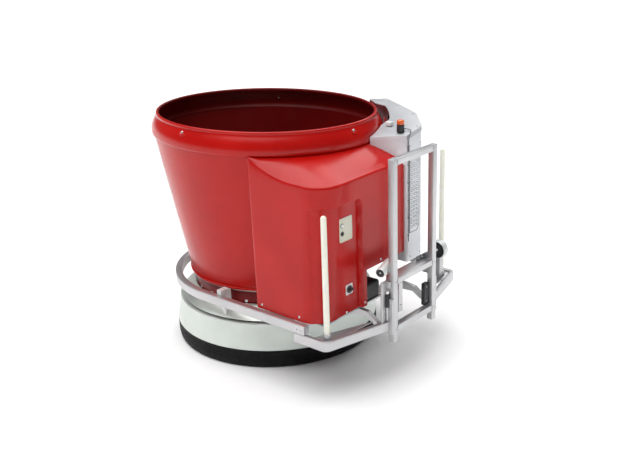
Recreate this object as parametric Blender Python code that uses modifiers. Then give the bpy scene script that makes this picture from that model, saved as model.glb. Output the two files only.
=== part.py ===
"""A self-propelled feed mixing robot at full size, in metres.

The floor is z = 0, the robot drives towards -Y, and its right-hand side is -X.
"""

import math

import bmesh
import bpy
from mathutils import Matrix, Vector

GAP = 0.0003
TURN = 2 * math.pi

# The shapes are laid out from the skirt's axis. The whole is moved back by this much, so that its
# middle stands over the origin.
FRAME_SHIFT_Y = 0.2065

# Skirt: a turning ring round the wheels, with a rubber lip that nearly touches the floor.
LIP_BOTTOM = 0.006
LIP_TOP = 0.150
LIP_R = 0.853
SKIRT_TOP = 0.366
SKIRT_TOP_R = 0.812
RACE_R = 0.767
ROLLER_R = 0.050
ROLLER_TURNS = {"skirt_drive_roller": 90, "left_guide_roller": 330, "right_guide_roller": 210}
SPINDLE_R = 0.012

# Chassis: a round deck with two rails under it.
DECK_R = 0.745
DECK_BOTTOM = 0.385
DECK_TOP = 0.400
RAIL_X = 0.20
RAIL_SIDE = 0.060

# Running gear.
WHEEL_R = 0.170
WHEEL_X = 0.430
WHEEL_Y = 0.250
WHEEL_WIDTH = 0.090
HUB_R = 0.120
CASTOR_R = 0.100
CASTOR_X = 0.330
CASTOR_Y = -0.520
CASTOR_TRAIL = 0.045

# Tub: a circle at its floor, an oval at its top, with a bulged band round the rim.
PEDESTAL_R = 0.670
FLOOR_BOTTOM = 0.585
FLOOR_TOP = 0.600
TUB_BOTTOM_R = 0.700
TUB_TOP = 1.720
TUB_TOP_HALF = (0.830, 0.988)
TUB_TOP_Y = 0.030
TUB_SWELL = 0.004
TUB_WALL = 0.012
LIP_HALF = (0.787, 0.939)
RIM_TOP = 1.896
AUGER_TOP = 1.450

# Bumper hoop and front frame.
HOOP_R = 0.845
HOOP_BOTTOM = 0.507
HOOP_TOP = 0.577
HOOP_THICK = 0.056
CORNER_BAR_THICK = 0.036
HOOP_END_Y = -1.060
CORNER_BAR_BOTTOM = 0.432
CORNER_BAR_TOP = HOOP_BOTTOM - GAP
CORNER_Y = -1.262
MAST_X = 0.252
MAST_Y = -1.420
MAST_SIDE = 0.050
MAST_BOTTOM = 0.335
MAST_TOP = 1.740
ROD_X = (-0.760, 0.718)
ROD_TOP = (1.425, 1.578)
ROD_R = 0.023
ROD_Y = -1.205

# Front cover.
COVER_BOTTOM = 0.580
COVER_FRONT_Y = -1.195
COVER_RIGHT_BOTTOM_X = -0.790
COVER_RIGHT_TOP_X = -0.730
COVER_REAR_BOTTOM_Y = -0.550
COVER_REAR_TOP_Y = -0.470
COVER_CREASE = 1.575
COVER_END_X = 0.197
COVER_RAISED = 0.865
COVER_STEP_X = -0.275
COVER_WALL = 0.008
FASCIA_DEPTH = 0.028
FASCIA_X = (-0.655, -0.335)
FASCIA_TOP = 1.430
BUTTON_X = -0.520
BUTTON_R = 0.013
SWITCH_PLACE = (-0.450, 0.765)

# Discharge housing on the front left.
HOUSING_X = 0.2005
HOUSING_FRONT_Y = -1.225
HOUSING_BOTTOM = 0.780
LID_Z = 1.790
LID_SLOPE = 0.18
LID_THICK = 0.010
HOUSING_OUTLINE = (
    (HOUSING_X, HOUSING_FRONT_Y),
    (0.390, HOUSING_FRONT_Y),
    (0.600, -1.030),
    (0.715, -0.790),
    (0.800, -0.600),
    (0.730, -0.430),
)
DOOR_TURN = -55
DOOR_Z = 0.820
DOOR_TRAVEL = 0.270

FINISHES = {
    "red_paint": ((0.36, 0.012, 0.014), 0.22, 0.0),
    "silver_paint": ((0.56, 0.57, 0.59), 0.38, 0.6),
    "grey_paint": ((0.66, 0.66, 0.70), 0.40, 0.1),
    "skirt_paint": ((0.62, 0.66, 0.64), 0.42, 0.2),
    "black_rubber": ((0.018, 0.018, 0.020), 0.75, 0.0),
    "black_plastic": ((0.025, 0.025, 0.028), 0.45, 0.0),
    "ivory_plastic": ((0.84, 0.83, 0.70), 0.35, 0.0),
    "pale_plastic": ((0.78, 0.78, 0.66), 0.40, 0.0),
    "white_plastic": ((0.86, 0.86, 0.85), 0.35, 0.0),
    "orange_lens": ((0.90, 0.20, 0.03), 0.15, 0.0),
    "bare_steel": ((0.52, 0.52, 0.51), 0.32, 0.9),
    "motor_grey": ((0.22, 0.23, 0.25), 0.50, 0.3),
    "battery_case": ((0.07, 0.08, 0.10), 0.55, 0.0),
}


# ---------------------------------------------------------------- helpers


def clear_scene():
    for obj in list(bpy.data.objects):
        bpy.data.objects.remove(obj, do_unlink=True)


def make_collection(name):
    collection = bpy.data.collections.new(name)
    bpy.context.scene.collection.children.link(collection)
    return collection


def make_finish(name):
    if name in bpy.data.materials:
        return bpy.data.materials[name]
    colour, roughness, metallic = FINISHES[name]
    finish = bpy.data.materials.new(name)
    finish.use_nodes = True
    shader = finish.node_tree.nodes["Principled BSDF"]
    shader.inputs["Base Color"].default_value = (*colour, 1.0)
    shader.inputs["Roughness"].default_value = roughness
    shader.inputs["Metallic"].default_value = metallic
    finish.diffuse_color = (*colour, 1.0)
    return finish


def add_part(name, mesh, finish):
    mesh.name = name
    obj = bpy.data.objects.new(name, mesh)
    obj.data.materials.clear()
    obj.data.materials.append(make_finish(finish))
    PARTS.objects.link(obj)
    return obj


def add_cutter(name, mesh):
    obj = bpy.data.objects.new(name, mesh)
    obj.hide_render = True
    obj.display_type = "WIRE"
    CUTTERS.objects.link(obj)
    return obj


def boolean(obj, other, operation):
    modifier = obj.modifiers.new(f"{operation.lower()} {other.name}", "BOOLEAN")
    modifier.operation = operation
    modifier.object = other
    modifier.solver = "EXACT"


def bevel(obj, width, segments=1):
    modifier = obj.modifiers.new("rounded edges", "BEVEL")
    modifier.width = width
    modifier.segments = segments
    modifier.limit_method = "ANGLE"
    modifier.angle_limit = math.radians(40)


def smooth(mesh, angle=40):
    mesh.shade_smooth()
    mesh.set_sharp_from_angle(angle=math.radians(angle))


def to_mesh(bm, name="shape"):
    mesh = bpy.data.meshes.new(name)
    bm.to_mesh(mesh)
    bm.free()
    return mesh


def box_mesh(low, high):
    """A box between two opposite corners."""
    low, high = Vector(low), Vector(high)
    bm = bmesh.new()
    bmesh.ops.create_cube(bm, size=1.0)
    bmesh.ops.scale(bm, vec=high - low, verts=bm.verts)
    bmesh.ops.translate(bm, vec=(low + high) / 2, verts=bm.verts)
    return to_mesh(bm)


def rod_mesh(start, end, radius, end_radius=None, segments=24):
    """A cylinder or cone frustum between two points."""
    start, end = Vector(start), Vector(end)
    along = end - start
    bm = bmesh.new()
    bmesh.ops.create_cone(
        bm,
        cap_ends=True,
        segments=segments,
        radius1=radius,
        radius2=radius if end_radius is None else end_radius,
        depth=along.length,
    )
    turn = Vector((0, 0, 1)).rotation_difference(along).to_matrix()
    bmesh.ops.rotate(bm, cent=(0, 0, 0), matrix=turn, verts=bm.verts)
    bmesh.ops.translate(bm, vec=(start + end) / 2, verts=bm.verts)
    mesh = to_mesh(bm)
    smooth(mesh)
    return mesh


def merged(mesh, *others):
    """One mesh that holds the Boolean union of several."""
    holder = bpy.data.objects.new("holder", mesh)
    CUTTERS.objects.link(holder)
    pieces = []
    for other in others:
        piece = bpy.data.objects.new("piece", other)
        CUTTERS.objects.link(piece)
        pieces.append(piece)
        boolean(holder, piece, "UNION")
    return bake(holder, pieces)


def carved(mesh, *others):
    """One mesh with several others cut out of it."""
    holder = bpy.data.objects.new("holder", mesh)
    CUTTERS.objects.link(holder)
    pieces = []
    for other in others:
        piece = bpy.data.objects.new("piece", other)
        CUTTERS.objects.link(piece)
        pieces.append(piece)
        boolean(holder, piece, "DIFFERENCE")
    return bake(holder, pieces)


def bake(holder, pieces):
    """The evaluated mesh of an object, which is then removed with the pieces that it used."""
    graph = bpy.context.evaluated_depsgraph_get()
    mesh = bpy.data.meshes.new_from_object(holder.evaluated_get(graph))
    for obj in (holder, *pieces):
        bpy.data.objects.remove(obj, do_unlink=True)
    return mesh


def turned_mesh(profile, steps=48, closed=True):
    """A profile of (radius, z) turned round Z. Its outer side runs from top to bottom."""
    mesh = bpy.data.meshes.new("profile")
    points = [(radius, 0.0, z) for radius, z in profile]
    edges = [(i, i + 1) for i in range(len(points) - 1)]
    if closed:
        edges.append((len(points) - 1, 0))
    mesh.from_pydata(points, edges, [])
    holder = bpy.data.objects.new("holder", mesh)
    CUTTERS.objects.link(holder)
    screw = holder.modifiers.new("turned", "SCREW")
    screw.steps = steps
    screw.render_steps = steps
    screw.use_merge_vertices = True
    screw.merge_threshold = 0.00005
    turned = bake(holder, [])
    smooth(turned)
    return turned


def plate_mesh(outline, low, high, holes=()):
    """A flat outline in X and Y, filled from one height to another."""
    curve = bpy.data.curves.new("outline", "CURVE")
    curve.dimensions = "2D"
    curve.fill_mode = "BOTH"
    curve.extrude = (high - low) / 2
    for ring in (outline, *holes):
        spline = curve.splines.new("POLY")
        spline.points.add(len(ring) - 1)
        for point, (x, y) in zip(spline.points, ring):
            point.co = (x, y, 0, 1)
        spline.use_cyclic_u = True
    holder = bpy.data.objects.new("holder", curve)
    CUTTERS.objects.link(holder)
    mesh = bake(holder, [])
    bm = bmesh.new()
    bm.from_mesh(mesh)
    bmesh.ops.remove_doubles(bm, verts=bm.verts, dist=0.00005)
    bmesh.ops.recalc_face_normals(bm, faces=bm.faces)
    bmesh.ops.translate(bm, vec=(0, 0, (low + high) / 2), verts=bm.verts)
    bm.to_mesh(mesh)
    bm.free()
    return mesh


def tube_mesh(points, radius, resolution=2):
    """A round bar along a smooth run of points."""
    curve = bpy.data.curves.new("run", "CURVE")
    curve.dimensions = "3D"
    curve.bevel_depth = radius
    curve.bevel_resolution = resolution
    curve.use_fill_caps = True
    spline = curve.splines.new("POLY")
    spline.points.add(len(points) - 1)
    for point, co in zip(spline.points, points):
        point.co = (*co, 1)
    holder = bpy.data.objects.new("holder", curve)
    CUTTERS.objects.link(holder)
    mesh = bake(holder, [])
    bm = bmesh.new()
    bm.from_mesh(mesh)
    bmesh.ops.remove_doubles(bm, verts=bm.verts, dist=0.00005)
    bmesh.ops.recalc_face_normals(bm, faces=bm.faces)
    bm.to_mesh(mesh)
    bm.free()
    smooth(mesh)
    return mesh


def loft_mesh(rings, loop=False):
    """A closed skin over rings of equal length. With loop, the last ring joins the first."""
    bm = bmesh.new()
    rows = [[bm.verts.new(point) for point in ring] for ring in rings]
    count = len(rows[0])
    pairs = list(zip(rows, rows[1:]))
    if loop:
        pairs.append((rows[-1], rows[0]))
    for lower, upper in pairs:
        for i in range(count):
            j = (i + 1) % count
            bm.faces.new((lower[i], lower[j], upper[j], upper[i]))
    if not loop:
        bm.faces.new(rows[0][::-1])
        bm.faces.new(rows[-1])
    bmesh.ops.triangulate(bm, faces=bm.faces)
    bmesh.ops.recalc_face_normals(bm, faces=bm.faces)
    mesh = to_mesh(bm)
    smooth(mesh)
    return mesh


def fillet(points, radius, steps=4, closed=True):
    """A run of points in the plane with its corners rounded."""
    points = [Vector(point) for point in points]
    count = len(points)
    rounded = []
    for i, corner in enumerate(points):
        if not closed and i in (0, count - 1):
            rounded.append(corner)
            continue
        before = (points[i - 1] - corner).normalized()
        after = (points[(i + 1) % count] - corner).normalized()
        half = before.angle(after) / 2
        reach = radius / math.tan(half)
        centre = corner + (before + after).normalized() * (radius / math.sin(half))
        start, end = corner + before * reach - centre, corner + after * reach - centre
        sweep = math.pi - 2 * half
        for step in range(steps + 1):
            part = step / steps
            mix = (
                start * math.sin((1 - part) * sweep) + end * math.sin(part * sweep)
            ) / math.sin(sweep)
            rounded.append(centre + mix)
    return [tuple(point) for point in rounded]


def offset_path(points, distance):
    """An open run of points moved sideways to its left by a distance."""
    points = [Vector(point) for point in points]
    moved = []
    for i, point in enumerate(points):
        ahead = points[min(i + 1, len(points) - 1)] - point
        behind = point - points[max(i - 1, 0)]
        normals = [Vector((-d.y, d.x)).normalized() for d in (behind, ahead) if d.length > 1e-9]
        normal = sum(normals, Vector((0, 0))).normalized()
        moved.append(tuple(point + normal * (distance / normal.dot(normals[0]))))
    return moved


def strip_outline(path, thickness):
    """The closed outline of a strip that lies to the left of a path."""
    return list(path) + offset_path(path, thickness)[::-1]


def placed(mesh, matrix):
    mesh.transform(matrix)
    return mesh


def mirrored(mesh):
    """A copy of a mesh on the other side of X = 0, with its faces still pointing out."""
    copy = mesh.copy()
    copy.transform(Matrix.Scale(-1, 4, (1, 0, 0)))
    copy.flip_normals()
    return copy


def set_origin(obj, point):
    """Moves an object's origin to a joint's axis without moving its shape."""
    obj.data.transform(Matrix.Translation(-Vector(point)))
    obj.location = point


# ---------------------------------------------------------------- tub


def tub_ring(share, offset=0.0, count=48):
    """A level ring of the tub's outer face, from its floor (0) to its top (1)."""
    swell = TUB_SWELL * 4 * share * (1 - share) + offset
    ring = []
    for i in range(count):
        angle = TURN * i / count
        half_x = TUB_BOTTOM_R * (1 - share) + TUB_TOP_HALF[0] * share + swell
        half_y = TUB_BOTTOM_R * (1 - share) + TUB_TOP_HALF[1] * share + swell
        z = FLOOR_TOP + (TUB_TOP - FLOOR_TOP) * share
        ring.append((half_x * math.cos(angle), TUB_TOP_Y * share + half_y * math.sin(angle), z))
    return ring


def tub_solid(offset):
    """A closed form of the tub's outer face, for cutting what meets it."""
    shares = [-0.22, 0.0, 0.33, 0.67, 1.0, 1.30]
    rings = []
    for share in shares:
        inside = min(max(share, 0.0), 1.0)
        ring = tub_ring(inside, offset)
        z = FLOOR_TOP + (TUB_TOP - FLOOR_TOP) * share
        rings.append([(x, y, z) for x, y, _ in ring])
    return loft_mesh(rings)


def make_tub_shell():
    shares = [0.0, 0.02, 0.34, 0.67, 1.0]
    lift = Vector((0, 0, GAP))
    outer = [[Vector(p) + lift for p in tub_ring(share)] for share in shares]
    inner = [[Vector(p) + lift for p in tub_ring(share, -TUB_WALL)] for share in shares]
    flange = [Vector(p) + lift for p in tub_ring(0.0, 0.014)]
    flange_top = [p + Vector((0, 0, 0.018)) for p in flange]
    rings = [flange, flange_top] + outer[1:] + inner[::-1]
    shell = loft_mesh(rings, loop=True)
    shell = carved(shell, placed(box_mesh((-0.140, -0.20, -0.160), (0.140, 0.10, 0.100)), door_frame_matrix()))
    smooth(shell)
    return add_part("tub_shell", shell, "red_paint")


def oval(half_x, half_y, z, count=48):
    return [
        (half_x * math.cos(TURN * i / count), TUB_TOP_Y + half_y * math.sin(TURN * i / count), z)
        for i in range(count)
    ]


def make_rim_band():
    """The band stands out over the tub's top edge, leans in as it rises and ends in a rolled bead."""
    low = TUB_TOP + 2 * GAP
    outer = [(0.052, low), (0.060, low + 0.006), (0.063, 1.755), (0.050, 1.810), (0.020, 1.858), (0.016, 1.870)]
    bead = [(0.018, 1.884), (0.008, RIM_TOP), (-0.006, 1.892), (-0.010, 1.878)]
    inner = [(0.010, 1.856), (0.036, 1.810), (0.046, 1.755), (0.034, low)]
    rings = [oval(LIP_HALF[0] + o, LIP_HALF[1] + o, z) for o, z in outer + bead + inner]
    add_part("rim_band", loft_mesh(rings, loop=True), "red_paint")


def make_tub_floor():
    profile = [(0.078, FLOOR_TOP), (0.698, FLOOR_TOP), (0.698, FLOOR_BOTTOM + GAP), (0.078, FLOOR_BOTTOM + GAP)]
    add_part("tub_floor", turned_mesh(profile), "bare_steel")


def make_pedestal():
    top = FLOOR_BOTTOM
    bottom = DECK_TOP + GAP
    profile = [
        (PEDESTAL_R - 0.030, top),
        (PEDESTAL_R + 0.012, top),
        (PEDESTAL_R + 0.012, top - 0.015),
        (PEDESTAL_R, top - 0.020),
        (PEDESTAL_R, bottom),
        (PEDESTAL_R - 0.012, bottom),
        (PEDESTAL_R - 0.012, top - 0.015),
        (PEDESTAL_R - 0.030, top - 0.015),
    ]
    add_part("tub_pedestal", turned_mesh(profile), "red_paint")


# ---------------------------------------------------------------- auger


def auger_radius(share):
    """How far the flight reaches, from its foot (0) to its top (1)."""
    return 0.560 - 0.330 * share**0.8


def make_auger():
    column = turned_mesh(
        [
            (0.0, AUGER_TOP),
            (0.040, AUGER_TOP),
            (0.050, AUGER_TOP - 0.010),
            (0.130, 0.640),
            (0.300, 0.618),
            (0.300, 0.603),
            (0.060, 0.603),
            (0.060, 0.590),
            (0.045, 0.590),
            (0.045, 0.535),
            (0.0, 0.535),
        ],
        steps=32,
        closed=False,
    )
    turns, steps, thick = 2.25, 42, 0.010
    foot, top = 0.612, 1.380
    rings = []
    for i in range(steps + 1):
        share = i / steps
        angle = turns * TURN * share
        reach = auger_radius(share)
        z = foot + (top - foot) * share
        c, s = math.cos(angle), math.sin(angle)
        rings.append(
            [(r * c, r * s, height) for r, height in ((0.020, z), (reach, z), (reach, z + thick), (0.020, z + thick))]
        )
    auger = merged(column, loft_mesh(rings))
    smooth(auger, 30)
    add_part("auger", auger, "bare_steel")
    for name, share in (("lower_auger_knife", 0.20), ("upper_auger_knife", 0.50)):
        make_knife(name, share, turns, foot, top, thick)


def make_knife(name, share, turns, foot, top, thick):
    """A toothed blade that lies on the flight, tilted to its slope."""
    angle = turns * TURN * share
    reach = auger_radius(share)
    middle = reach - 0.010
    climb = (top - foot) / (turns * TURN)
    outline = [(-0.030, -0.030), (0.020, -0.030), (0.060, -0.012), (0.070, 0.012), (0.040, 0.030), (-0.030, 0.030)]
    blade = plate_mesh(outline, 0.0, 0.008)
    tilt = Matrix.Rotation(math.atan(climb / middle), 4, "X")
    height = foot + (top - foot) * share + thick + 0.0010
    matrix = (
        Matrix.Rotation(angle, 4, "Z") @ Matrix.Translation((middle, 0, height)) @ tilt
    )
    add_part(name, placed(blade, matrix), "bare_steel")


def make_auger_gear_motor():
    gearbox = turned_mesh(
        [
            (0.0, FLOOR_BOTTOM),
            (0.170, FLOOR_BOTTOM),
            (0.170, 0.560),
            (0.140, 0.550),
            (0.140, 0.425),
            (0.120, DECK_TOP + GAP),
            (0.0, DECK_TOP + GAP),
        ],
        steps=32,
        closed=False,
    )
    motor = rod_mesh((0, 0.10, 0.490), (0, 0.500, 0.490), 0.078, segments=32)
    body = merged(gearbox, motor)
    bore = rod_mesh((0, 0, 0.530), (0, 0, 0.620), 0.0460, segments=32)
    body = carved(body, bore)
    smooth(body)
    add_part("auger_gear_motor", body, "motor_grey")


# ---------------------------------------------------------------- chassis and running gear


def make_deck():
    deck = turned_mesh(
        [(0.0, DECK_TOP), (DECK_R, DECK_TOP), (DECK_R, DECK_BOTTOM), (0.0, DECK_BOTTOM)], closed=False
    )
    rails = []
    for x in (-RAIL_X, RAIL_X):
        half = RAIL_SIDE / 2
        rails.append(box_mesh((x - half, -0.660, DECK_BOTTOM - RAIL_SIDE), (x + half, 0.600, DECK_BOTTOM + 0.005)))
    deck = merged(deck, *rails)
    holes = []
    for degrees in ROLLER_TURNS.values():
        x, y = roller_place(degrees)
        holes.append(rod_mesh((x, y, 0.30), (x, y, 0.45), SPINDLE_R + 0.0005, segments=32))
    deck = carved(deck, *holes)
    smooth(deck)
    add_part("chassis_deck", deck, "silver_paint")


def roller_place(degrees):
    reach = RACE_R - ROLLER_R - 0.0020
    return reach * math.cos(math.radians(degrees)), reach * math.sin(math.radians(degrees))


def make_rollers():
    for name, degrees in ROLLER_TURNS.items():
        x, y = roller_place(degrees)
        mesh = turned_mesh(
            [
                (0.0, DECK_TOP - 0.002),
                (SPINDLE_R, DECK_TOP - 0.002),
                (SPINDLE_R, 0.356),
                (0.044, 0.352),
                (ROLLER_R, 0.348),
                (ROLLER_R, 0.308),
                (0.044, 0.304),
                (0.0, 0.304),
            ],
            steps=24,
            closed=False,
        )
        roller = add_part(name, mesh, "black_rubber")
        roller.location = (x, y, 0)
    x, y = roller_place(ROLLER_TURNS["skirt_drive_roller"])
    motor = merged(
        rod_mesh((x, y - 0.004, DECK_TOP + GAP), (x, y - 0.004, 0.490), 0.030, segments=24),
        box_mesh((x - 0.036, y - 0.040, DECK_TOP + GAP), (x + 0.036, y + 0.026, 0.412)),
    )
    add_part("skirt_drive_motor", motor, "motor_grey")


def make_skirt():
    ring = turned_mesh(
        [
            (RACE_R, SKIRT_TOP),
            (SKIRT_TOP_R, SKIRT_TOP),
            (SKIRT_TOP_R + 0.007, SKIRT_TOP - 0.006),
            (LIP_R, LIP_TOP + GAP),
            (LIP_R - 0.030, LIP_TOP + GAP),
            (LIP_R - 0.030, LIP_TOP + 0.007),
            (LIP_R - 0.008, LIP_TOP + 0.007),
            (SKIRT_TOP_R, SKIRT_TOP - 0.014),
            (SKIRT_TOP_R - 0.004, SKIRT_TOP - 0.008),
            (RACE_R + 0.008, SKIRT_TOP - 0.008),
            (RACE_R + 0.008, 0.300),
            (RACE_R, 0.300),
        ],
        steps=56,
    )
    add_part("skirt_ring", ring, "skirt_paint")
    lip = turned_mesh(
        [
            (LIP_R - 0.030, LIP_TOP),
            (LIP_R, LIP_TOP),
            (LIP_R + 0.001, 0.110),
            (LIP_R - 0.004, 0.030),
            (LIP_R - 0.012, LIP_BOTTOM),
            (LIP_R - 0.036, LIP_BOTTOM),
        ],
        steps=56,
    )
    add_part("skirt_lip", lip, "black_rubber")


def on_x_axis(mesh, x, y, z, side):
    """Turns a shape made round Z so that its top faces outwards along X on the given side."""
    turn = Matrix.Rotation(math.radians(90 * side), 4, "Y")
    return placed(mesh, Matrix.Translation((x, y, z)) @ turn)


def make_drive_wheel(side_name, side):
    half = WHEEL_WIDTH / 2
    hub = turned_mesh(
        [
            (0.0, half - 0.006),
            (0.034, half - 0.006),
            (0.040, half - 0.014),
            (0.046, half - 0.026),
            (HUB_R - 0.022, half - 0.026),
            (HUB_R - 0.014, half - 0.004),
            (HUB_R, half - 0.004),
            (HUB_R, -half + 0.004),
            (HUB_R - 0.014, -half + 0.004),
            (HUB_R - 0.022, 0.0),
            (0.036, 0.0),
            (0.036, -half - 0.004),
            (0.020, -half - 0.004),
            (0.020, -half - 0.050),
            (0.0, -half - 0.050),
        ],
        steps=32,
        closed=False,
    )
    tyre = turned_mesh(
        [
            (HUB_R + GAP, half - 0.006),
            (WHEEL_R - 0.014, half),
            (WHEEL_R, half - 0.020),
            (WHEEL_R, -half + 0.020),
            (WHEEL_R - 0.014, -half),
            (HUB_R + GAP, -half + 0.006),
        ],
        steps=32,
    )
    place = (side * WHEEL_X, WHEEL_Y, WHEEL_R)
    for name, mesh, finish in (("drive_hub", hub, "bare_steel"), ("drive_tyre", tyre, "black_rubber")):
        obj = add_part(f"{side_name}_{name}", on_x_axis(mesh, *place, side), finish)
        set_origin(obj, place)


def make_drive_motor(side_name, side):
    face = WHEEL_X - WHEEL_WIDTH / 2 - 0.006
    z = WHEEL_R
    motor = merged(
        rod_mesh((0.085, WHEEL_Y, z), (face - 0.060, WHEEL_Y, z), 0.060, segments=24),
        box_mesh((face - 0.080, WHEEL_Y - 0.065, z - 0.065), (face, WHEEL_Y + 0.065, z + 0.065)),
        box_mesh((0.172, WHEEL_Y - 0.050, z), (0.228, WHEEL_Y + 0.050, DECK_BOTTOM - RAIL_SIDE - GAP)),
    )
    motor = carved(motor, rod_mesh((face - 0.055, WHEEL_Y, z), (face + 0.010, WHEEL_Y, z), 0.0206))
    add_part(f"{side_name}_drive_motor", motor if side > 0 else mirrored(motor), "motor_grey")


def make_castor(side_name, side):
    axle_y = CASTOR_Y + CASTOR_TRAIL
    x = side * CASTOR_X
    stem = turned_mesh(
        [(0.0, DECK_BOTTOM - GAP), (0.052, DECK_BOTTOM - GAP), (0.056, 0.345), (0.060, 0.332), (0.060, 0.316), (0.0, 0.316)],
        steps=24,
        closed=False,
    )
    outline = [(-0.045, 0.300), (0.045, 0.300), (0.070, 0.105), (0.045, 0.078), (0.022, 0.092)]
    leg = placed(plate_mesh(outline, -0.004, 0.004), Matrix.Rotation(math.radians(90), 4, "X"))
    leg = placed(leg, Matrix.Rotation(math.radians(90), 4, "Z"))
    inner, outer = leg.copy(), leg
    fork = merged(
        placed(stem, Matrix.Identity(4)),
        box_mesh((-0.044, -0.050, 0.290), (0.044, 0.050, 0.322)),
        placed(outer, Matrix.Translation((0.040, 0, 0))),
        placed(inner, Matrix.Translation((-0.040, 0, 0))),
        rod_mesh((-0.052, CASTOR_TRAIL, CASTOR_R), (0.052, CASTOR_TRAIL, CASTOR_R), 0.010, segments=16),
    )
    obj = add_part(f"{side_name}_castor_fork", fork, "bare_steel")
    obj.location = (x, CASTOR_Y, 0)
    wheel = turned_mesh(
        [
            (0.0106, 0.030),
            (0.030, 0.030),
            (CASTOR_R - 0.010, 0.026),
            (CASTOR_R, 0.014),
            (CASTOR_R, -0.014),
            (CASTOR_R - 0.010, -0.026),
            (0.030, -0.030),
            (0.0106, -0.030),
        ],
        steps=28,
    )
    place = (x, axle_y, CASTOR_R)
    obj = add_part(f"{side_name}_castor_wheel", on_x_axis(wheel, *place, 1), "black_rubber")
    set_origin(obj, place)


# ---------------------------------------------------------------- bumper and front frame


def hoop_path():
    """The hoop's outer face, from the front of the right rail round the back to the front of the left one."""
    steps = 28
    arc = [
        (-HOOP_R * math.cos(math.pi * i / steps), HOOP_R * math.sin(math.pi * i / steps)) for i in range(steps + 1)
    ]
    return [(-HOOP_R, HOOP_END_Y)] + arc + [(HOOP_R, HOOP_END_Y)]


def make_hoop():
    outline = strip_outline(hoop_path(), -HOOP_THICK)
    hoop = add_part("bumper_hoop", plate_mesh(outline, HOOP_BOTTOM, HOOP_TOP), "silver_paint")
    bevel(hoop, 0.004)


def make_corner_bars():
    """Each bar runs under the end of a hoop rail, round the front corner and across to the foot of a mast."""
    foot = (-MAST_X - MAST_SIDE / 2 - 0.010, MAST_Y + 0.010)
    path = fillet([(-HOOP_R, -0.960), (-HOOP_R, CORNER_Y), foot], 0.060, closed=False)
    bar = plate_mesh(strip_outline(path[::-1], -CORNER_BAR_THICK), CORNER_BAR_BOTTOM, CORNER_BAR_TOP)
    inner = offset_path(path[::-1], -0.020)[::-1]
    tie = [(-0.330, -1.290), (-0.790, -1.110)]
    gusset = plate_mesh(inner[1:-1] + tie, CORNER_BAR_TOP - 0.024, CORNER_BAR_TOP - 0.014)
    side_plate = box_mesh((foot[0] - 0.004, MAST_Y - 0.022, 0.405), (foot[0] + 0.0097, MAST_Y + 0.022, 0.690))
    both = merged(bar, gusset, side_plate)
    upright = box_mesh((-0.350, MAST_Y + 0.032, 0.450), (-0.290, MAST_Y + 0.044, 0.830))
    tab = box_mesh((-0.300, MAST_Y - 0.005, 0.780), (-MAST_X - MAST_SIDE / 2 - GAP, MAST_Y + 0.044, 0.830))
    right = merged(both, upright, tab)
    left = mirrored(both)
    add_part("right_corner_bar", right, "silver_paint")
    add_part("left_corner_bar", left, "silver_paint")


def make_ladder():
    half = MAST_SIDE / 2
    for name, x in (("right_mast", -MAST_X), ("left_mast", MAST_X)):
        mast = add_part(
            name,
            box_mesh((x - half, MAST_Y - half, MAST_BOTTOM), (x + half, MAST_Y + half, MAST_TOP)),
            "silver_paint",
        )
        bevel(mast, 0.004)
    span = MAST_X - half - GAP
    bars = {
        "ladder_top_bar": (MAST_TOP - 0.046, MAST_TOP, half),
        "ladder_upper_crossbar": (0.796, 0.842, half + 0.060),
        "ladder_lower_crossbar": (0.412, 0.464, half + 0.005),
    }
    for name, (low, high, back) in bars.items():
        mesh = box_mesh((-span, MAST_Y - half, low), (span, MAST_Y + back, high))
        if name == "ladder_upper_crossbar":
            mesh = merged(mesh, box_mesh((-0.150, MAST_Y + 0.020, 0.530), (-0.105, MAST_Y + 0.032, low + 0.010)))
        bar = add_part(name, mesh, "silver_paint")
        bevel(bar, 0.003)


def make_marker_rods():
    """The left rod stands a little nearer the middle than the right one, and taller."""
    foot = CORNER_BAR_TOP + GAP - 0.014
    for name, x, top in zip(("right_marker_rod", "left_marker_rod"), ROD_X, ROD_TOP):
        mesh = turned_mesh(
            [
                (0.0, top),
                (0.010, top - 0.003),
                (0.019, top - 0.013),
                (0.021, top - 0.027),
                (ROD_R, foot + 0.060),
                (ROD_R, foot),
                (0.0, foot),
            ],
            steps=20,
            closed=False,
        )
        rod = add_part(name, mesh, "ivory_plastic")
        rod.location = (x, ROD_Y, 0)


def make_distance_sensors():
    """Each sensor is a round can with a dark face and a short foot that carries it."""
    can = merged(
        rod_mesh((-0.165, -1.330, 0.925), (-0.343, -1.370, 0.902), 0.0370, segments=24),
        box_mesh((-0.215, -1.362, 0.842 + GAP), (-0.165, -1.337, 0.910)),
    )
    add_part("right_distance_sensor", can, "silver_paint")
    foot = CORNER_BAR_TOP + GAP - 0.014
    can = merged(
        rod_mesh((0.618, -1.225, 0.750), (0.678, -1.225, 0.750), 0.075, segments=28),
        box_mesh((0.630, -1.250, foot), (0.670, -1.200, 0.700)),
    )
    add_part("left_distance_sensor", can, "silver_paint")


def make_hoop_guides():
    """A guide on each side of the tub's pedestal, with a short jaw over and under the hoop's inner edge."""
    inner, outer = -0.720, -HOOP_R + HOOP_THICK - 0.013
    jaws = merged(
        box_mesh((outer, -0.170, HOOP_BOTTOM - 0.021), (inner, -0.122, 0.615)),
        box_mesh((-0.760, -0.166, DECK_TOP + GAP), (-0.685, -0.126, 0.5995)),
    )
    slot = box_mesh((-0.900, -0.250, HOOP_BOTTOM - 0.001), (-HOOP_R + HOOP_THICK + 0.002, 0.0, HOOP_TOP + 0.001))
    guide = carved(jaws, slot, tub_solid(0.0155))
    add_part("right_hoop_guide", guide, "grey_paint")
    add_part("left_hoop_guide", mirrored(guide), "grey_paint")


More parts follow.
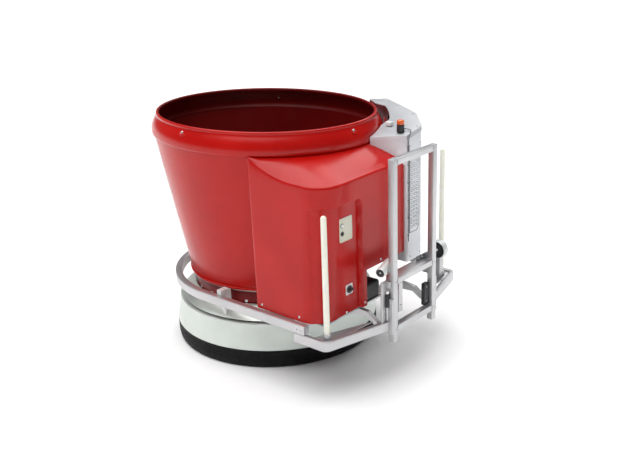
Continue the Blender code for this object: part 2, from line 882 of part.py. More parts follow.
def make_front_support():
    """Two arms from the deck carry the shelf under the cover and reach forward to guide the front frame."""
    profile = [
        (-0.460, DECK_TOP + GAP),
        (-0.900, DECK_TOP + GAP),
        (-1.120, 0.500),
        (-1.220, 0.505),
        (-1.322, 0.440),
        (-1.322, 0.484),
        (-1.230, 0.548),
        (-1.080, 0.560),
        (-0.860, 0.452),
        (-0.460, 0.452),
    ]
    side = [(y, z) for y, z in fillet(profile, 0.020, steps=2)]
    arms = []
    for x in (-0.300, 0.300):
        arm = plate_mesh(side, -0.018, 0.018)
        stand = Matrix(((0, 0, 1, x), (1, 0, 0, 0), (0, 1, 0, 0), (0, 0, 0, 1)))
        arms.append(placed(arm, stand))
    shelf = box_mesh((-0.720, -1.150, 0.556), (-0.030, -0.760, 0.568))
    post = box_mesh((-0.660, -0.860, 0.420), (-0.282, -0.800, 0.560))
    support = merged(arms[0], shelf, post, box_mesh((-0.310, -0.860, 0.420), (0.310, -0.800, 0.452)), arms[1])
    support = carved(support, tub_solid(0.020))
    add_part("front_support", support, "silver_paint")


# ---------------------------------------------------------------- cover and controls


def cover_ring(z, steps=5):
    """The cover's outer face at one height, from its rear edge on the right round to its left end."""
    share = (z - COVER_BOTTOM) / (TUB_TOP - COVER_BOTTOM)
    side = COVER_RIGHT_BOTTOM_X + (COVER_RIGHT_TOP_X - COVER_RIGHT_BOTTOM_X) * share
    rear = COVER_REAR_BOTTOM_Y + (COVER_REAR_TOP_Y - COVER_REAR_BOTTOM_Y) * share
    start = (side + 0.190, rear + 0.155)
    path = fillet([start, (side, rear), (side, -0.80)], 0.050, 3, closed=False)[:-1]
    for i in range(3):
        path.append((side, rear - 0.06 - (rear - 0.06 + 0.96) * (i / 3) ** 0.9))
    corner = fillet([(side, -0.95), (side, COVER_FRONT_Y), (-0.3, COVER_FRONT_Y)], 0.200, 7, closed=False)[1:-1]
    path += corner
    for i in range(1, steps + 1):
        x = corner[-1][0] + (COVER_END_X - corner[-1][0]) * i / steps
        path.append((x, COVER_FRONT_Y))
    return path


def crease_height(y):
    """The cover's top edge is level along the front and rises to the rim band at the rear."""
    back = min(max((y + 0.95) / 0.45, 0.0), 1.0)
    return COVER_CREASE + 0.118 * back**2


def roof_point(x, y):
    """Where the roof line from a crease point meets the rim band."""
    angle = math.atan2((y - TUB_TOP_Y) / TUB_TOP_HALF[1], x / TUB_TOP_HALF[0])
    angle += math.radians(3.6) * min(max((x + 0.3) / 0.5, 0.0), 1.0)
    reach = 0.012
    return (
        (TUB_TOP_HALF[0] + reach) * math.cos(angle),
        TUB_TOP_Y + (TUB_TOP_HALF[1] + reach) * math.sin(angle),
        TUB_TOP - 0.014,
    )


def make_cover():
    low = cover_ring(COVER_BOTTOM)
    middle = cover_ring(1.10)
    high = cover_ring(COVER_CREASE)
    rows = [[(x, y, COVER_BOTTOM) for x, y in low], [(x, y, 1.10) for x, y in middle]]
    rows.append([(x, y, crease_height(y) - 0.020) for x, y in high])
    inset = [(x * 0.988, y * 0.992, crease_height(y)) for x, y in high]
    rows.append(inset)
    rows.append([roof_point(x, y) for x, y in high])
    bm = bmesh.new()
    grid = [[bm.verts.new(point) for point in row] for row in rows]
    for lower, upper in zip(grid, grid[1:]):
        for i in range(len(lower) - 1):
            bm.faces.new((lower[i], lower[i + 1], upper[i + 1], upper[i]))
    skin = bpy.data.objects.new("skin", to_mesh(bm))
    CUTTERS.objects.link(skin)
    wall = skin.modifiers.new("sheet", "SOLIDIFY")
    wall.thickness = COVER_WALL
    wall.offset = -1
    skin.modifiers.new("flat faces", "TRIANGULATE")
    shell = bake(skin, [])
    raised = box_mesh((COVER_STEP_X, -1.40, 0.50), (0.40, -0.70, COVER_RAISED))
    housing_side = box_mesh((HOUSING_X - 0.002, -1.40, 0.50), (0.40, -0.30, 1.90))
    shell = carved(shell, raised, housing_side, fascia_block(0.0005), tub_solid(0.004))
    smooth(shell, 30)
    add_part("front_cover", shell, "red_paint")


def fascia_block(grow):
    """The pocket in the cover's front that holds the recessed control fascia."""
    low = (FASCIA_X[0] - grow, COVER_FRONT_Y - 0.05, COVER_BOTTOM - 0.05)
    high = (FASCIA_X[1] + grow, COVER_FRONT_Y + 0.05, FASCIA_TOP + grow)
    return box_mesh(low, high)


def make_controls():
    face = COVER_FRONT_Y + FASCIA_DEPTH
    low = (FASCIA_X[0] + 0.0005, COVER_FRONT_Y + 0.011, COVER_BOTTOM + 0.002)
    high = (FASCIA_X[1] - 0.0005, face + 0.008, FASCIA_TOP - 0.0005)
    hollow = box_mesh((low[0] + 0.006, low[1] - 0.01, low[2] - 0.01), (high[0] - 0.006, face, high[2] - 0.006))
    fascia = add_part("control_fascia", carved(box_mesh(low, high), hollow), "red_paint")
    x, z = SWITCH_PLACE
    holes = [rod_mesh((x, face - 0.02, z), (x, face + 0.03, z), 0.0140)]
    for z in (1.275, 1.215):
        holes.append(rod_mesh((BUTTON_X, face - 0.02, z), (BUTTON_X, face + 0.03, z), BUTTON_R + 0.0005))
    fascia.data = finished(carved(fascia.data, *holes), fascia)
    plate = box_mesh((-0.548, face - 0.0043, 1.150), (-0.405, face - GAP, 1.330))
    cuts = [
        rod_mesh((BUTTON_X, face - 0.02, z), (BUTTON_X, face + 0.03, z), BUTTON_R + 0.0005)
        for z in (1.275, 1.215)
    ]
    add_part("control_panel", carved(plate, *cuts), "pale_plastic")
    for name, z, finish in (
        ("start_button", 1.275, "white_plastic"),
        ("stop_button", 1.215, "black_plastic"),
    ):
        cap = rod_mesh((BUTTON_X, face - 0.012, z), (BUTTON_X, face + 0.012, z), BUTTON_R)
        obj = add_part(name, cap, finish)
        set_origin(obj, (BUTTON_X, face, z))
    x, z = SWITCH_PLACE
    knob = merged(
        rod_mesh((x, face - 0.010, z), (x, face + 0.014, z), 0.0135),
        rod_mesh((x, face - 0.010, z), (x, face - 0.001, z), 0.029),
        box_mesh((x - 0.026, face - 0.028, z - 0.007), (x + 0.026, face - 0.009, z + 0.007)),
    )
    knob = add_part("main_switch", knob, "black_plastic")
    set_origin(knob, (x, face, z))


def finished(mesh, obj):
    """A carved mesh with its object's finish put back."""
    mesh.materials.clear()
    mesh.materials.append(obj.data.materials[0])
    return mesh


def make_power_and_control():
    """The battery has a low end under the cover's raised corner."""
    low_end = add_cutter("low_end", box_mesh((-0.350, -1.145, 0.5685), (-0.045, -0.960, 0.705)))
    bevel(low_end, 0.020, 2)
    case = merged(box_mesh((-0.700, -1.130, 0.5685), (-0.330, -0.860, 0.790)), bake(low_end, []))
    add_part("battery_pack", case, "battery_case")
    box = add_part("control_box", box_mesh((-0.640, -1.120, 0.830), (-0.300, -0.930, 1.400)), "grey_paint")
    bevel(box, 0.006)


# ---------------------------------------------------------------- discharge housing


def lid_height(x):
    return LID_Z + LID_SLOPE * (x - HOUSING_X)


def make_housing():
    path = [(HOUSING_X, -0.700)] + list(HOUSING_OUTLINE) + [(0.600, -0.300)]
    path = fillet(path, 0.016, 2, closed=False)
    wall = plate_mesh(strip_outline(path, 0.008), HOUSING_BOTTOM, LID_Z)
    for vertex in wall.vertices:
        if vertex.co.z > 1.0:
            vertex.co.z = lid_height(vertex.co.x) - LID_THICK - GAP
    shell = carved(wall, tub_solid(0.028))
    smooth(shell, 30)
    add_part("discharge_housing", shell, "grey_paint")


def oval_arc(grow, start, end, steps):
    """Points round the rim, a distance outside it, between two angles in degrees."""
    points = []
    for i in range(steps + 1):
        angle = math.radians(start + (end - start) * i / steps)
        points.append(
            (
                (LIP_HALF[0] + grow) * math.cos(angle),
                TUB_TOP_Y + (LIP_HALF[1] + grow) * math.sin(angle),
            )
        )
    return points


def make_lid():
    """The lid leaves a crescent gap between itself and the rim band, over the door's gear."""
    inner = oval_arc(0.066, -31, -36, 1) + oval_arc(0.115, -43, -62, 8) + oval_arc(0.066, -69, -75.4, 1)
    outline = list(HOUSING_OUTLINE) + inner
    lid = plate_mesh(outline, -LID_THICK, 0.0)
    for vertex in lid.vertices:
        vertex.co.z += lid_height(vertex.co.x)
    add_part("housing_lid", lid, "grey_paint")
    strip = oval_arc(0.119, -62, -43, 8)
    outline = strip + oval_arc(0.127, -43, -62, 8)
    panel = plate_mesh(outline, 1.630, 1.780)
    for vertex in panel.vertices:
        if vertex.co.z > 1.7:
            vertex.co.z = lid_height(vertex.co.x) - LID_THICK - GAP
    add_part("chute_back_panel", panel, "red_paint")


def make_vent_panel():
    outline = [(0.232, 1.010), (0.330, 1.010), (0.362, 1.046), (0.362, 1.600), (0.232, 1.600)]
    panel = plate_mesh(outline, 0.0, 0.006)
    stand = Matrix(((1, 0, 0, 0), (0, 0, -1, HOUSING_FRONT_Y - GAP), (0, 1, 0, 0), (0, 0, 0, 1)))
    add_part("vent_panel", placed(panel, stand), "grey_paint")


def door_frame_matrix():
    """The discharge door's own axes: X along the tub's wall, Y straight out of it and Z up its slope."""
    angle = math.radians(DOOR_TURN)
    share = (DOOR_Z - FLOOR_TOP) / (TUB_TOP - FLOOR_TOP)
    middle = wall_point(angle, share)
    along = (wall_point(angle, share + 0.15) - wall_point(angle, share - 0.15)).normalized()
    side = Vector((math.sin(angle), -math.cos(angle), 0)) * -1
    side = (side - along * side.dot(along)).normalized()
    out = along.cross(side)
    if out.dot(middle) < 0:
        side, out = -side, -out
    matrix = Matrix((side, out, along)).transposed().to_4x4()
    return Matrix.Translation(middle) @ matrix


def wall_point(angle, share):
    swell = TUB_SWELL * 4 * share * (1 - share)
    half_x = TUB_BOTTOM_R * (1 - share) + TUB_TOP_HALF[0] * share + swell
    half_y = TUB_BOTTOM_R * (1 - share) + TUB_TOP_HALF[1] * share + swell
    return Vector(
        (
            half_x * math.cos(angle),
            TUB_TOP_Y * share + half_y * math.sin(angle),
            FLOOR_TOP + (TUB_TOP - FLOOR_TOP) * share,
        )
    )


def make_door():
    matrix = door_frame_matrix()
    plate = placed(box_mesh((-0.200, -0.060, -0.190), (0.200, 0.048, 0.150)), matrix)
    plate = carved(plate, tub_solid(0.0005))
    window = placed(box_mesh((-0.140, -0.200, -0.160), (0.140, 0.100, 0.100)), matrix)
    rails = merged(
        box_mesh((-0.200, 0.030, -0.189), (-0.172, 0.078, 0.480)),
        box_mesh((-0.198, 0.066, 0.440), (0.198, 0.110, 0.478)),
        box_mesh((0.172, 0.030, -0.189), (0.200, 0.078, 0.480)),
    )
    rails = carved(rails, rod_mesh((0, 0.088, 0.400), (0, 0.088, 0.520), 0.0130))
    frame = merged(carved(plate, window), placed(rails, matrix))
    add_part("door_frame", frame, "bare_steel")
    door = box_mesh((-0.168, 0.050, -0.185), (0.168, 0.060, 0.150))
    add_part("discharge_door", placed(door, matrix), "bare_steel")
    rod = merged(
        rod_mesh((0, 0.088, 0.090), (0, 0.088, 0.520), 0.011),
        box_mesh((-0.030, 0.0605, 0.070), (0.030, 0.104, 0.120)),
    )
    add_part("door_actuator_rod", placed(rod, matrix), "bare_steel")
    tube = carved(
        rod_mesh((0, 0.088, 0.4785), (0, 0.088, 0.820), 0.021),
        rod_mesh((0, 0.088, 0.470), (0, 0.088, 0.800), 0.0125),
    )
    add_part("door_actuator", placed(tube, matrix), "motor_grey")


def make_beacon():
    x, y = 0.232, -1.144
    base_z = lid_height(x) + 0.004
    base = turned_mesh(
        [(0.0, 0.054), (0.026, 0.054), (0.029, 0.048), (0.030, 0.0), (0.0, 0.0)], steps=24, closed=False
    )
    obj = add_part("beacon_base", base, "black_plastic")
    obj.location = (x, y, base_z + 0.004)
    lens = turned_mesh(
        [(0.0, 0.036), (0.015, 0.035), (0.025, 0.030), (0.0275, 0.022), (0.0275, 0.0), (0.0, 0.0)],
        steps=24,
        closed=False,
    )
    obj = add_part("beacon_lens", lens, "orange_lens")
    obj.location = (x, y, base_z + 0.004 + 0.054 + GAP)
    make_beacon_cable(x, y, base_z)
    sensor = box_mesh((0.290, -1.010, lid_height(0.330) + 0.0005), (0.330, -0.960, lid_height(0.330) + 0.030))
    add_part("feed_height_sensor", sensor, "white_plastic")


def make_beacon_cable(x, y, base_z):
    """The lead leaves the beacon's base, bends over the lid's edge and runs down the housing's front."""
    front = HOUSING_FRONT_Y - 0.0075
    route = [
        (x + 0.0310, y, base_z + 0.020),
        (x + 0.0420, y - 0.005, base_z + 0.018),
        (x + 0.0450, y - 0.032, base_z + 0.017),
        (x + 0.0380, y - 0.062, base_z + 0.016),
        (x + 0.0150, front + 0.006, base_z + 0.010),
        (x - 0.0050, front - 0.002, base_z - 0.008),
        (x - 0.0180, front, base_z - 0.040),
        (x - 0.0190, front, base_z - 0.120),
        (x - 0.0190, front, 1.400),
        (x - 0.0190, front, 1.200),
        (x - 0.0190, front, 0.950),
    ]
    add_part("beacon_cable", tube_mesh(smooth_run(route), 0.0040), "black_plastic")


def smooth_run(points, steps=3):
    """A smooth run through a few points: a Catmull-Rom curve."""
    points = [Vector(point) for point in points]
    ends = [points[0]] + points + [points[-1]]
    run = []
    for a, b, c, d in zip(ends, ends[1:], ends[2:], ends[3:]):
        for step in range(steps):
            t = step / steps
            run.append(
                0.5
                * (
                    2 * b
                    + (c - a) * t
                    + (2 * a - 5 * b + 4 * c - d) * t**2
                    + (3 * b - a - 3 * c + d) * t**3
                )
            )
    return run + [points[-1]]


def main():
    make_tub_shell()
    make_rim_band()
    make_tub_floor()
    make_pedestal()
    make_auger()
    make_auger_gear_motor()
    make_deck()
    make_rollers()
    make_skirt()
    for side_name, side in (("left", 1), ("right", -1)):
        make_drive_wheel(side_name, side)
        make_drive_motor(side_name, side)
        make_castor(side_name, side)
    make_hoop()
    make_corner_bars()
    make_ladder()
    make_marker_rods()
    make_distance_sensors()
    make_hoop_guides()
    make_front_support()
    make_cover()
    make_controls()
    make_power_and_control()
    make_housing()
    make_lid()
    make_vent_panel()
    make_door()
    make_beacon()
    root = bpy.data.objects.new("robot_root", None)
    PARTS.objects.link(root)
    root.location = (0, FRAME_SHIFT_Y, 0)
    for obj in PARTS.objects:
        if obj != root:
            obj.parent = root


clear_scene()
PARTS = make_collection("feed_mixing_robot")
CUTTERS = make_collection("cutters")
main()
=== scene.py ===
"""Looks of the feed mixing robot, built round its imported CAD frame.

Shapes are written from the skirt's axis, as in the CAD source, and moved to the frame as they are added.
"""

import random
from math import atan2, copysign, cos, dist, hypot, pi, radians, sin, tan

import bmesh
import bpy
from mathutils import Matrix, Vector


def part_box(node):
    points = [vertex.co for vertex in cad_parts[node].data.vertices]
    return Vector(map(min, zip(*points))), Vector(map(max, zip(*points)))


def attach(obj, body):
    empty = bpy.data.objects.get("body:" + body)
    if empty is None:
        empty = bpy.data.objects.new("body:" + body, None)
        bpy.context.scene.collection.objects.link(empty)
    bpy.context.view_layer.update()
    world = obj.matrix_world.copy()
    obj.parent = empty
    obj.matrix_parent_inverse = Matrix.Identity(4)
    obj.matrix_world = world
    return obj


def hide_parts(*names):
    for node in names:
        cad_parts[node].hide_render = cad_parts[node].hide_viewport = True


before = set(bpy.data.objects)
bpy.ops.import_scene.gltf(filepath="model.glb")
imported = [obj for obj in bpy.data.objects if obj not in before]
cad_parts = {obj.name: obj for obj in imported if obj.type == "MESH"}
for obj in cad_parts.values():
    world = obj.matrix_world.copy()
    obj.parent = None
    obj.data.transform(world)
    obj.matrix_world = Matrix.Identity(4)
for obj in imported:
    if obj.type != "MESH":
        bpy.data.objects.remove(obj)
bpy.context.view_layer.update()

TURN = 2 * pi
SKIRT_LOW, SKIRT_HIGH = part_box("skirt_ring")
SHIFT = Vector((0, (SKIRT_LOW.y + SKIRT_HIGH.y) / 2, 0))


def place_of(node):
    """A node's box, from the skirt's axis."""
    low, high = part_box(node)
    return low - SHIFT, high - SHIFT


# Tub and rim, from the frame's boxes.
RIM_LOW, RIM_HIGH = place_of("rim_band")
TUB_LOW, TUB_HIGH = place_of("tub_shell")
TUB_BOTTOM_R = 0.7
TUB_TOP_HALF = ((TUB_HIGH.x - TUB_LOW.x) / 2, (TUB_HIGH.y - TUB_LOW.y) / 2)
TUB_TOP_Y = (TUB_HIGH.y + TUB_LOW.y) / 2
TUB_SWELL = 0.004
TUB_WALL = 0.012
# The discharge door: its angle round the tub in degrees, and its height.
DOOR_ANGLE = -55
DOOR_Z = 0.82
LIP_HALF = ((RIM_HIGH.x - RIM_LOW.x) / 2 - 0.063, (RIM_HIGH.y - RIM_LOW.y) / 2 - 0.063)

# Bumper hoop.
HOOP_LOW, HOOP_HIGH = place_of("bumper_hoop")
HOOP_R = HOOP_HIGH.x
HOOP_THICK = 0.056
CORNER_BAR_THICK = 0.036
# Height of the upper cross member, without its bracket.
BAR_HEIGHT = 0.046
BAR_LOW = place_of("right_corner_bar")[0]
MAST_LOW, MAST_HIGH = place_of("right_mast")
MAST_Y = (MAST_LOW.y + MAST_HIGH.y) / 2
MAST_X = -(MAST_LOW.x + MAST_HIGH.x) / 2
CORNER_Y = -1.262

# Front cover.
COVER_Y = place_of("front_cover")[0].y
COVER_BOTTOM = 0.58
SIDE_BOTTOM_X = -0.79
SIDE_TOP_X = -0.73
REAR_BOTTOM_Y = -0.55
REAR_TOP_Y = -0.47
COVER_CREASE = 1.592
COVER_END_X = 0.197
COVER_RAISED = 0.865
COVER_STEP_X = -0.275
CORNER_END_X = -0.575
RECESS_LEFT = -0.24
CREASE_ROUND = 0.007
# Where the roof takes over from the crease, as a share of the way to the tub.
ROOF_START = 0.06
COVER_SHEET = 0.005
FASCIA_HIGH = place_of("control_fascia")[1]
FASCIA_Y = place_of("control_panel")[1].y + 0.0003

# Discharge housing.
HOUSING_X = place_of("housing_lid")[0].x
HOUSING_Y = place_of("housing_lid")[0].y
LID_Z = 1.79
LID_SLOPE = 0.18
# Where the lid and the wing meet the rim, in degrees.
WING_ANGLE = -84.6

# How finely the round things are drawn, and what repeats.
RIM_STEPS = 160
SKIRT_STEPS = 192
HOOP_STEPS = 72
FRONT_STEPS = 150
PEDESTAL_BOLTS = 24
VENT_ROWS = 17
VENT_COLUMNS = 3


# ---- Mesh helpers


def smooth(mesh, angle):
    mesh.shade_smooth()
    mesh.set_sharp_from_angle(angle=radians(angle))


def new_object(name, data):
    obj = bpy.data.objects.new(name, data)
    bpy.context.scene.collection.objects.link(obj)
    return obj


def settle(obj, body, replaces):
    """Puts a piece on its body, in place of the CAD nodes that it stands for."""
    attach(obj, body)
    if replaces:
        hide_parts(*replaces)
    return obj


def add(name, mesh, finish, body="chassis", replaces=(), angle=38):
    """Adds a mesh, or a list of meshes joined in one, as a piece. Edges sharper than the angle stay sharp."""
    if isinstance(mesh, list):
        mesh = joined(*mesh)
    mesh.name = name
    mesh.transform(Matrix.Translation(SHIFT))
    mesh.materials.clear()
    mesh.materials.append(FINISHES[finish])
    smooth(mesh, angle)
    return settle(new_object(name, mesh), body, replaces)


def carve(obj, cutter_mesh, place=Matrix(), sheet=0.0):
    """Cuts a shape out of a piece. A bare skin is given the sheet's thickness first."""
    cutter = new_object("cutter", moved(cutter_mesh, Matrix.Translation(SHIFT) @ place))
    if sheet:
        wall = obj.modifiers.new("sheet", "SOLIDIFY")
        wall.thickness = sheet
        wall.offset = 0.0
    cut = obj.modifiers.new("cut", "BOOLEAN")
    cut.operation = "DIFFERENCE"
    cut.object = cutter
    graph = bpy.context.evaluated_depsgraph_get()
    mesh = bpy.data.meshes.new_from_object(obj.evaluated_get(graph))
    obj.modifiers.clear()
    obj.data = mesh
    bpy.data.objects.remove(cutter)


def to_mesh(bm):
    mesh = bpy.data.meshes.new("shape")
    bm.to_mesh(mesh)
    bm.free()
    return mesh


def joined(*meshes):
    """Several meshes in one."""
    bm = bmesh.new()
    for mesh in meshes:
        bm.from_mesh(mesh)
    return to_mesh(bm)


def moved(mesh, matrix):
    mesh.transform(matrix)
    return mesh


def mirrored(mesh):
    copy = mesh.copy()
    copy.transform(Matrix.Scale(-1, 4, (1, 0, 0)))
    copy.flip_normals()
    return copy


def loft(rings, loop=False, sheet=False):
    """A skin over rings of equal length. With loop, the last ring joins the first. A sheet's rows stay open."""
    bm = bmesh.new()
    rows = [[bm.verts.new(point) for point in ring] for ring in rings]
    count = len(rows[0])
    pairs = list(zip(rows, rows[1:]))
    if loop:
        pairs.append((rows[-1], rows[0]))
    for lower, upper in pairs:
        for i in range(count - 1 if sheet else count):
            j = (i + 1) % count
            bm.faces.new((lower[i], lower[j], upper[j], upper[i]))
    if not sheet and not loop:
        bm.faces.new(rows[0][::-1])
        bm.faces.new(rows[-1])
    bmesh.ops.recalc_face_normals(bm, faces=bm.faces)
    return to_mesh(bm)


def around(count):
    """Equal steps of angle round a circle."""
    return [TURN * i / count for i in range(count)]


def from_corner(r, z, points):
    """Points of a profile, written from a corner at radius r and height z."""
    return [(r + a, z + b) for a, b in points]


def four(left, right, low, high):
    """The corners of a rectangle in the plane."""
    return [(left, low), (right, low), (right, high), (left, high)]


def turned(profile, steps=48, loop=False):
    """A profile of (radius, z) turned round Z. Its ends close on the axis unless it is a loop."""
    rings = []
    for radius, z in profile:
        radius = max(radius, 1e-5)
        rings.append([(radius * cos(angle), radius * sin(angle), z) for angle in around(steps)])
    return loft(rings, loop=loop)


def arc(centre, radius, start, end, steps):
    """Points of an arc in the plane, with its angles in degrees."""
    points = []
    for i in range(steps + 1):
        angle = radians(start + (end - start) * i / steps)
        points.append((centre[0] + radius * cos(angle), centre[1] + radius * sin(angle)))
    return points


def box(low, high, radius=0.0):
    """A box between two corners, with its edges rounded."""
    low, high = Vector(low), Vector(high)
    bm = bmesh.new()
    bmesh.ops.create_cube(bm, size=1.0)
    bmesh.ops.scale(bm, vec=high - low, verts=bm.verts)
    bmesh.ops.translate(bm, vec=(low + high) / 2, verts=bm.verts)
    if radius:
        bmesh.ops.bevel(bm, geom=bm.edges, offset=radius, segments=3, profile=0.5, affect="EDGES")
    return to_mesh(bm)


def pointing(mesh, start, end):
    """Moves a shape made up the Z axis so that it runs from start towards end."""
    start, end = Vector(start), Vector(end)
    turn = Vector((0, 0, 1)).rotation_difference(end - start).to_matrix().to_4x4()
    return moved(mesh, Matrix.Translation(start) @ turn)


def plate(outline, low, high, radius=0.0):
    """A flat outline in X and Y, from one height to another, with its edges rounded."""
    bm = bmesh.new()
    face = bm.faces.new([bm.verts.new((x, y, low)) for x, y in outline])
    made = bmesh.ops.extrude_face_region(bm, geom=[face])
    top = [item for item in made["geom"] if isinstance(item, bmesh.types.BMVert)]
    bmesh.ops.translate(bm, vec=(0, 0, high - low), verts=top)
    bmesh.ops.recalc_face_normals(bm, faces=bm.faces)
    if radius:
        rims = [edge for edge in bm.edges if abs(edge.verts[0].co.z - edge.verts[1].co.z) < 1e-6]
        bmesh.ops.bevel(bm, geom=rims, offset=radius, segments=2, profile=0.5, affect="EDGES")
    return to_mesh(bm)


UPRIGHT = Matrix(((1, 0, 0, 0), (0, 0, -1, 0), (0, 1, 0, 0), (0, 0, 0, 1)))
FRONT = Vector((0, -1, 0))


def fillet(points, radius, steps=6, closed=True):
    """A run of points in the plane with its corners rounded."""
    points = [Vector(point) for point in points]
    count = len(points)
    rounded = []
    for i, corner in enumerate(points):
        if not closed and i in (0, count - 1):
            rounded.append(corner)
            continue
        before = (points[i - 1] - corner).normalized()
        after = (points[(i + 1) % count] - corner).normalized()
        half = before.angle(after) / 2
        centre = corner + (before + after).normalized() * (radius / sin(half))
        start = corner + before * (radius / tan(half)) - centre
        end = corner + after * (radius / tan(half)) - centre
        sweep = pi - 2 * half
        for step in range(steps + 1):
            part = step / steps
            mix = start * sin((1 - part) * sweep) + end * sin(part * sweep)
            rounded.append(centre + mix / sin(sweep))
    return [tuple(point) for point in rounded]


def beside(path, distance):
    """An open run of points in the plane, moved to its left."""
    path = [Vector(point) for point in path]
    result = []
    for i, point in enumerate(path):
        sides = []
        for step in (point - path[max(i - 1, 0)], path[min(i + 1, len(path) - 1)] - point):
            if step.length > 1e-9:
                sides.append(Vector((-step.y, step.x)).normalized())
        normal = sum(sides, Vector((0, 0))).normalized()
        result.append(point + normal * (distance / normal.dot(sides[0])))
    return result


def swept(path, section):
    """A section of (distance to the left of the path, z), carried along a level path."""
    rings = []
    columns = [beside(path, offset) for offset, _ in section]
    for i in range(len(path)):
        rings.append([(column[i].x, column[i].y, z) for column, (_, z) in zip(columns, section)])
    return loft(rings)


def bar_section(inner, outer, low, high, radius):
    """A rectangle with rounded corners, as the section of a bar."""
    return fillet(four(inner, outer, low, high), radius, 3)


def wire(name, points, radius, finish, replaces=()):
    """A round wire or weld bead along a run of points, on the chassis."""
    curve = bpy.data.curves.new(name, "CURVE")
    curve.dimensions = "3D"
    curve.bevel_depth = radius
    curve.bevel_resolution = 4
    curve.use_fill_caps = True
    spline = curve.splines.new("POLY")
    spline.points.add(len(points) - 1)
    for point, co in zip(spline.points, points):
        point.co = (*(Vector(co) + SHIFT), 1)
    curve.materials.append(FINISHES[finish])
    settle(new_object(name, curve), "chassis", replaces)


def smooth_run(points, steps):
    """A Catmull-Rom curve through a few points."""
    points = [Vector(point) for point in points]
    ends = [points[0]] + points + [points[-1]]
    run = []
    for a, b, c, d in zip(ends, ends[1:], ends[2:], ends[3:]):
        for step in range(steps):
            t = step / steps
            first, second = (c - a) * t, (2 * a - 5 * b + 4 * c - d) * t**2
            run.append(0.5 * (2 * b + first + second + (3 * b - a - 3 * c + d) * t**3))
    return run + [points[-1]]


def bolt(place, out, size):
    """A hexagon head on a washer. Its size is the head's radius."""
    parts = []
    for sides, points in (
        (6, ((0, 0.95), (0.72, 0.95), (1, 0.75), (1, 0.2))),
        (20, ((0, 0.22), (1.35, 0.22), (1.5, 0.12), (1.5, -0.1))),
    ):
        parts.append(turned([(size * a, size * b) for a, b in points], sides))
    return pointing(joined(*parts), place, Vector(place) + Vector(out))


def dome_bolt(place, out, size):
    """A button head with a hexagon socket. Its size is the head's radius."""
    points = ((0, 0.25), (0.42, 0.25), (0.42, 0.62), (0.55, 0.62), (0.85, 0.42), (1, 0.1), (1, -0.1))
    head = turned([(size * a, size * b) for a, b in points], 18)
    return pointing(head, place, Vector(place) + Vector(out))


def weld_bead(points, radius, seed):
    """A weld along a run of points, as overlapping ripples."""
    dice = random.Random(seed)
    points = [Vector(point) for point in points]
    beads = []
    for start, end in zip(points, points[1:]):
        count = max(int((end - start).length / (radius * 1.1)), 1)
        for i in range(count):
            place = start.lerp(end, i / count)
            size = radius * dice.uniform(0.85, 1.15)
            bm = bmesh.new()
            bmesh.ops.create_uvsphere(bm, u_segments=8, v_segments=5, radius=size)
            bmesh.ops.translate(bm, vec=place, verts=bm.verts)
            beads.append(to_mesh(bm))
    return joined(*beads)


# ---- Materials

FINISHES = {}


def shader_tree(name):
    material = bpy.data.materials.new(name)
    material.use_nodes = True
    tree = material.node_tree
    return material, tree, tree.nodes["Principled BSDF"]


def connect(tree, made, inputs):
    """Sets a node's inputs to values, or to the outputs of other nodes."""
    for name, value in inputs.items():
        if isinstance(value, bpy.types.NodeSocket):
            tree.links.new(value, made.inputs[name])
        else:
            made.inputs[name].default_value = value


def node(tree, kind, inputs, **settings):
    """The outputs of a new shader node."""
    made = tree.nodes.new("ShaderNode" + kind)
    for name, value in settings.items():
        setattr(made, name, value)
    connect(tree, made, inputs)
    return made.outputs


def noise(tree, scale, detail, stretch=(1, 1, 1)):
    """Noise in the object's own metres."""
    where = node(tree, "TexCoord", {})["Object"]
    mapped = node(tree, "Mapping", {"Vector": where, "Scale": stretch})["Vector"]
    return node(tree, "TexNoise", {"Vector": mapped, "Scale": scale, "Detail": detail})["Fac"]


def ramp(tree, value, stops):
    """Colours along a value. Stops are (position, colour)."""
    made = tree.nodes.new("ShaderNodeValToRGB")
    band = made.color_ramp
    while len(band.elements) < len(stops):
        band.elements.new(0.5)
    for element, (position, colour) in zip(band.elements, stops):
        element.position = position
        element.color = (*colour, 1.0)
    tree.links.new(value, made.inputs["Fac"])
    return made.outputs["Color"]


def make_finish(name, dark, light, rough, tone, gloss, skin, sockets, stretch=(1, 1, 1)):
    """A material whose colour, roughness and skin vary with noise.

    Tone is the (scale, detail, first stop) of the colour's noise, gloss the (scale, detail) of the roughness's, and
    skin the (scale, detail, strength, distance) of the bump's.
    """
    material, tree, shader = shader_tree(name)
    colour = ramp(tree, noise(tree, *tone[:2], stretch), [(tone[2], dark), (1 - tone[2], light)])
    spread = {"From Min": 0.3, "From Max": 0.7, "To Min": rough[0], "To Max": rough[1]}
    spread["Value"] = noise(tree, *gloss, stretch)
    connect(tree, shader, {"Base Color": colour, "Roughness": node(tree, "MapRange", spread)["Result"], **sockets})
    if skin:
        bump = {"Height": noise(tree, *skin[:2], stretch), "Strength": skin[2], "Distance": skin[3]}
        connect(tree, shader, {"Normal": node(tree, "Bump", bump)["Normal"]})
    FINISHES[name] = material


def make_paint(name, dark, light, rough, metallic=0.0, peel=0.02, flake=0.0, specular=0.5):
    """Sprayed paint: slow changes of tone and gloss, with an orange-peel skin or fine metal flakes."""
    skin = (900.0, 2.0, flake, 0.0006) if flake else (160.0, 2.0, peel, 0.0006)
    sockets = {"Metallic": metallic, "Specular IOR Level": specular}
    make_finish(name, dark, light, rough, (2.6, 5.0, 0.35), (9.0, 5.0), skin, sockets)


def make_rubber(name, dark, light, rough):
    skin = (420.0, 3.0, 0.22, 0.001)
    make_finish(name, dark, light, rough, (14.0, 6.0, 0.3), (30.0, 4.0), skin, {"Specular IOR Level": 0.2})


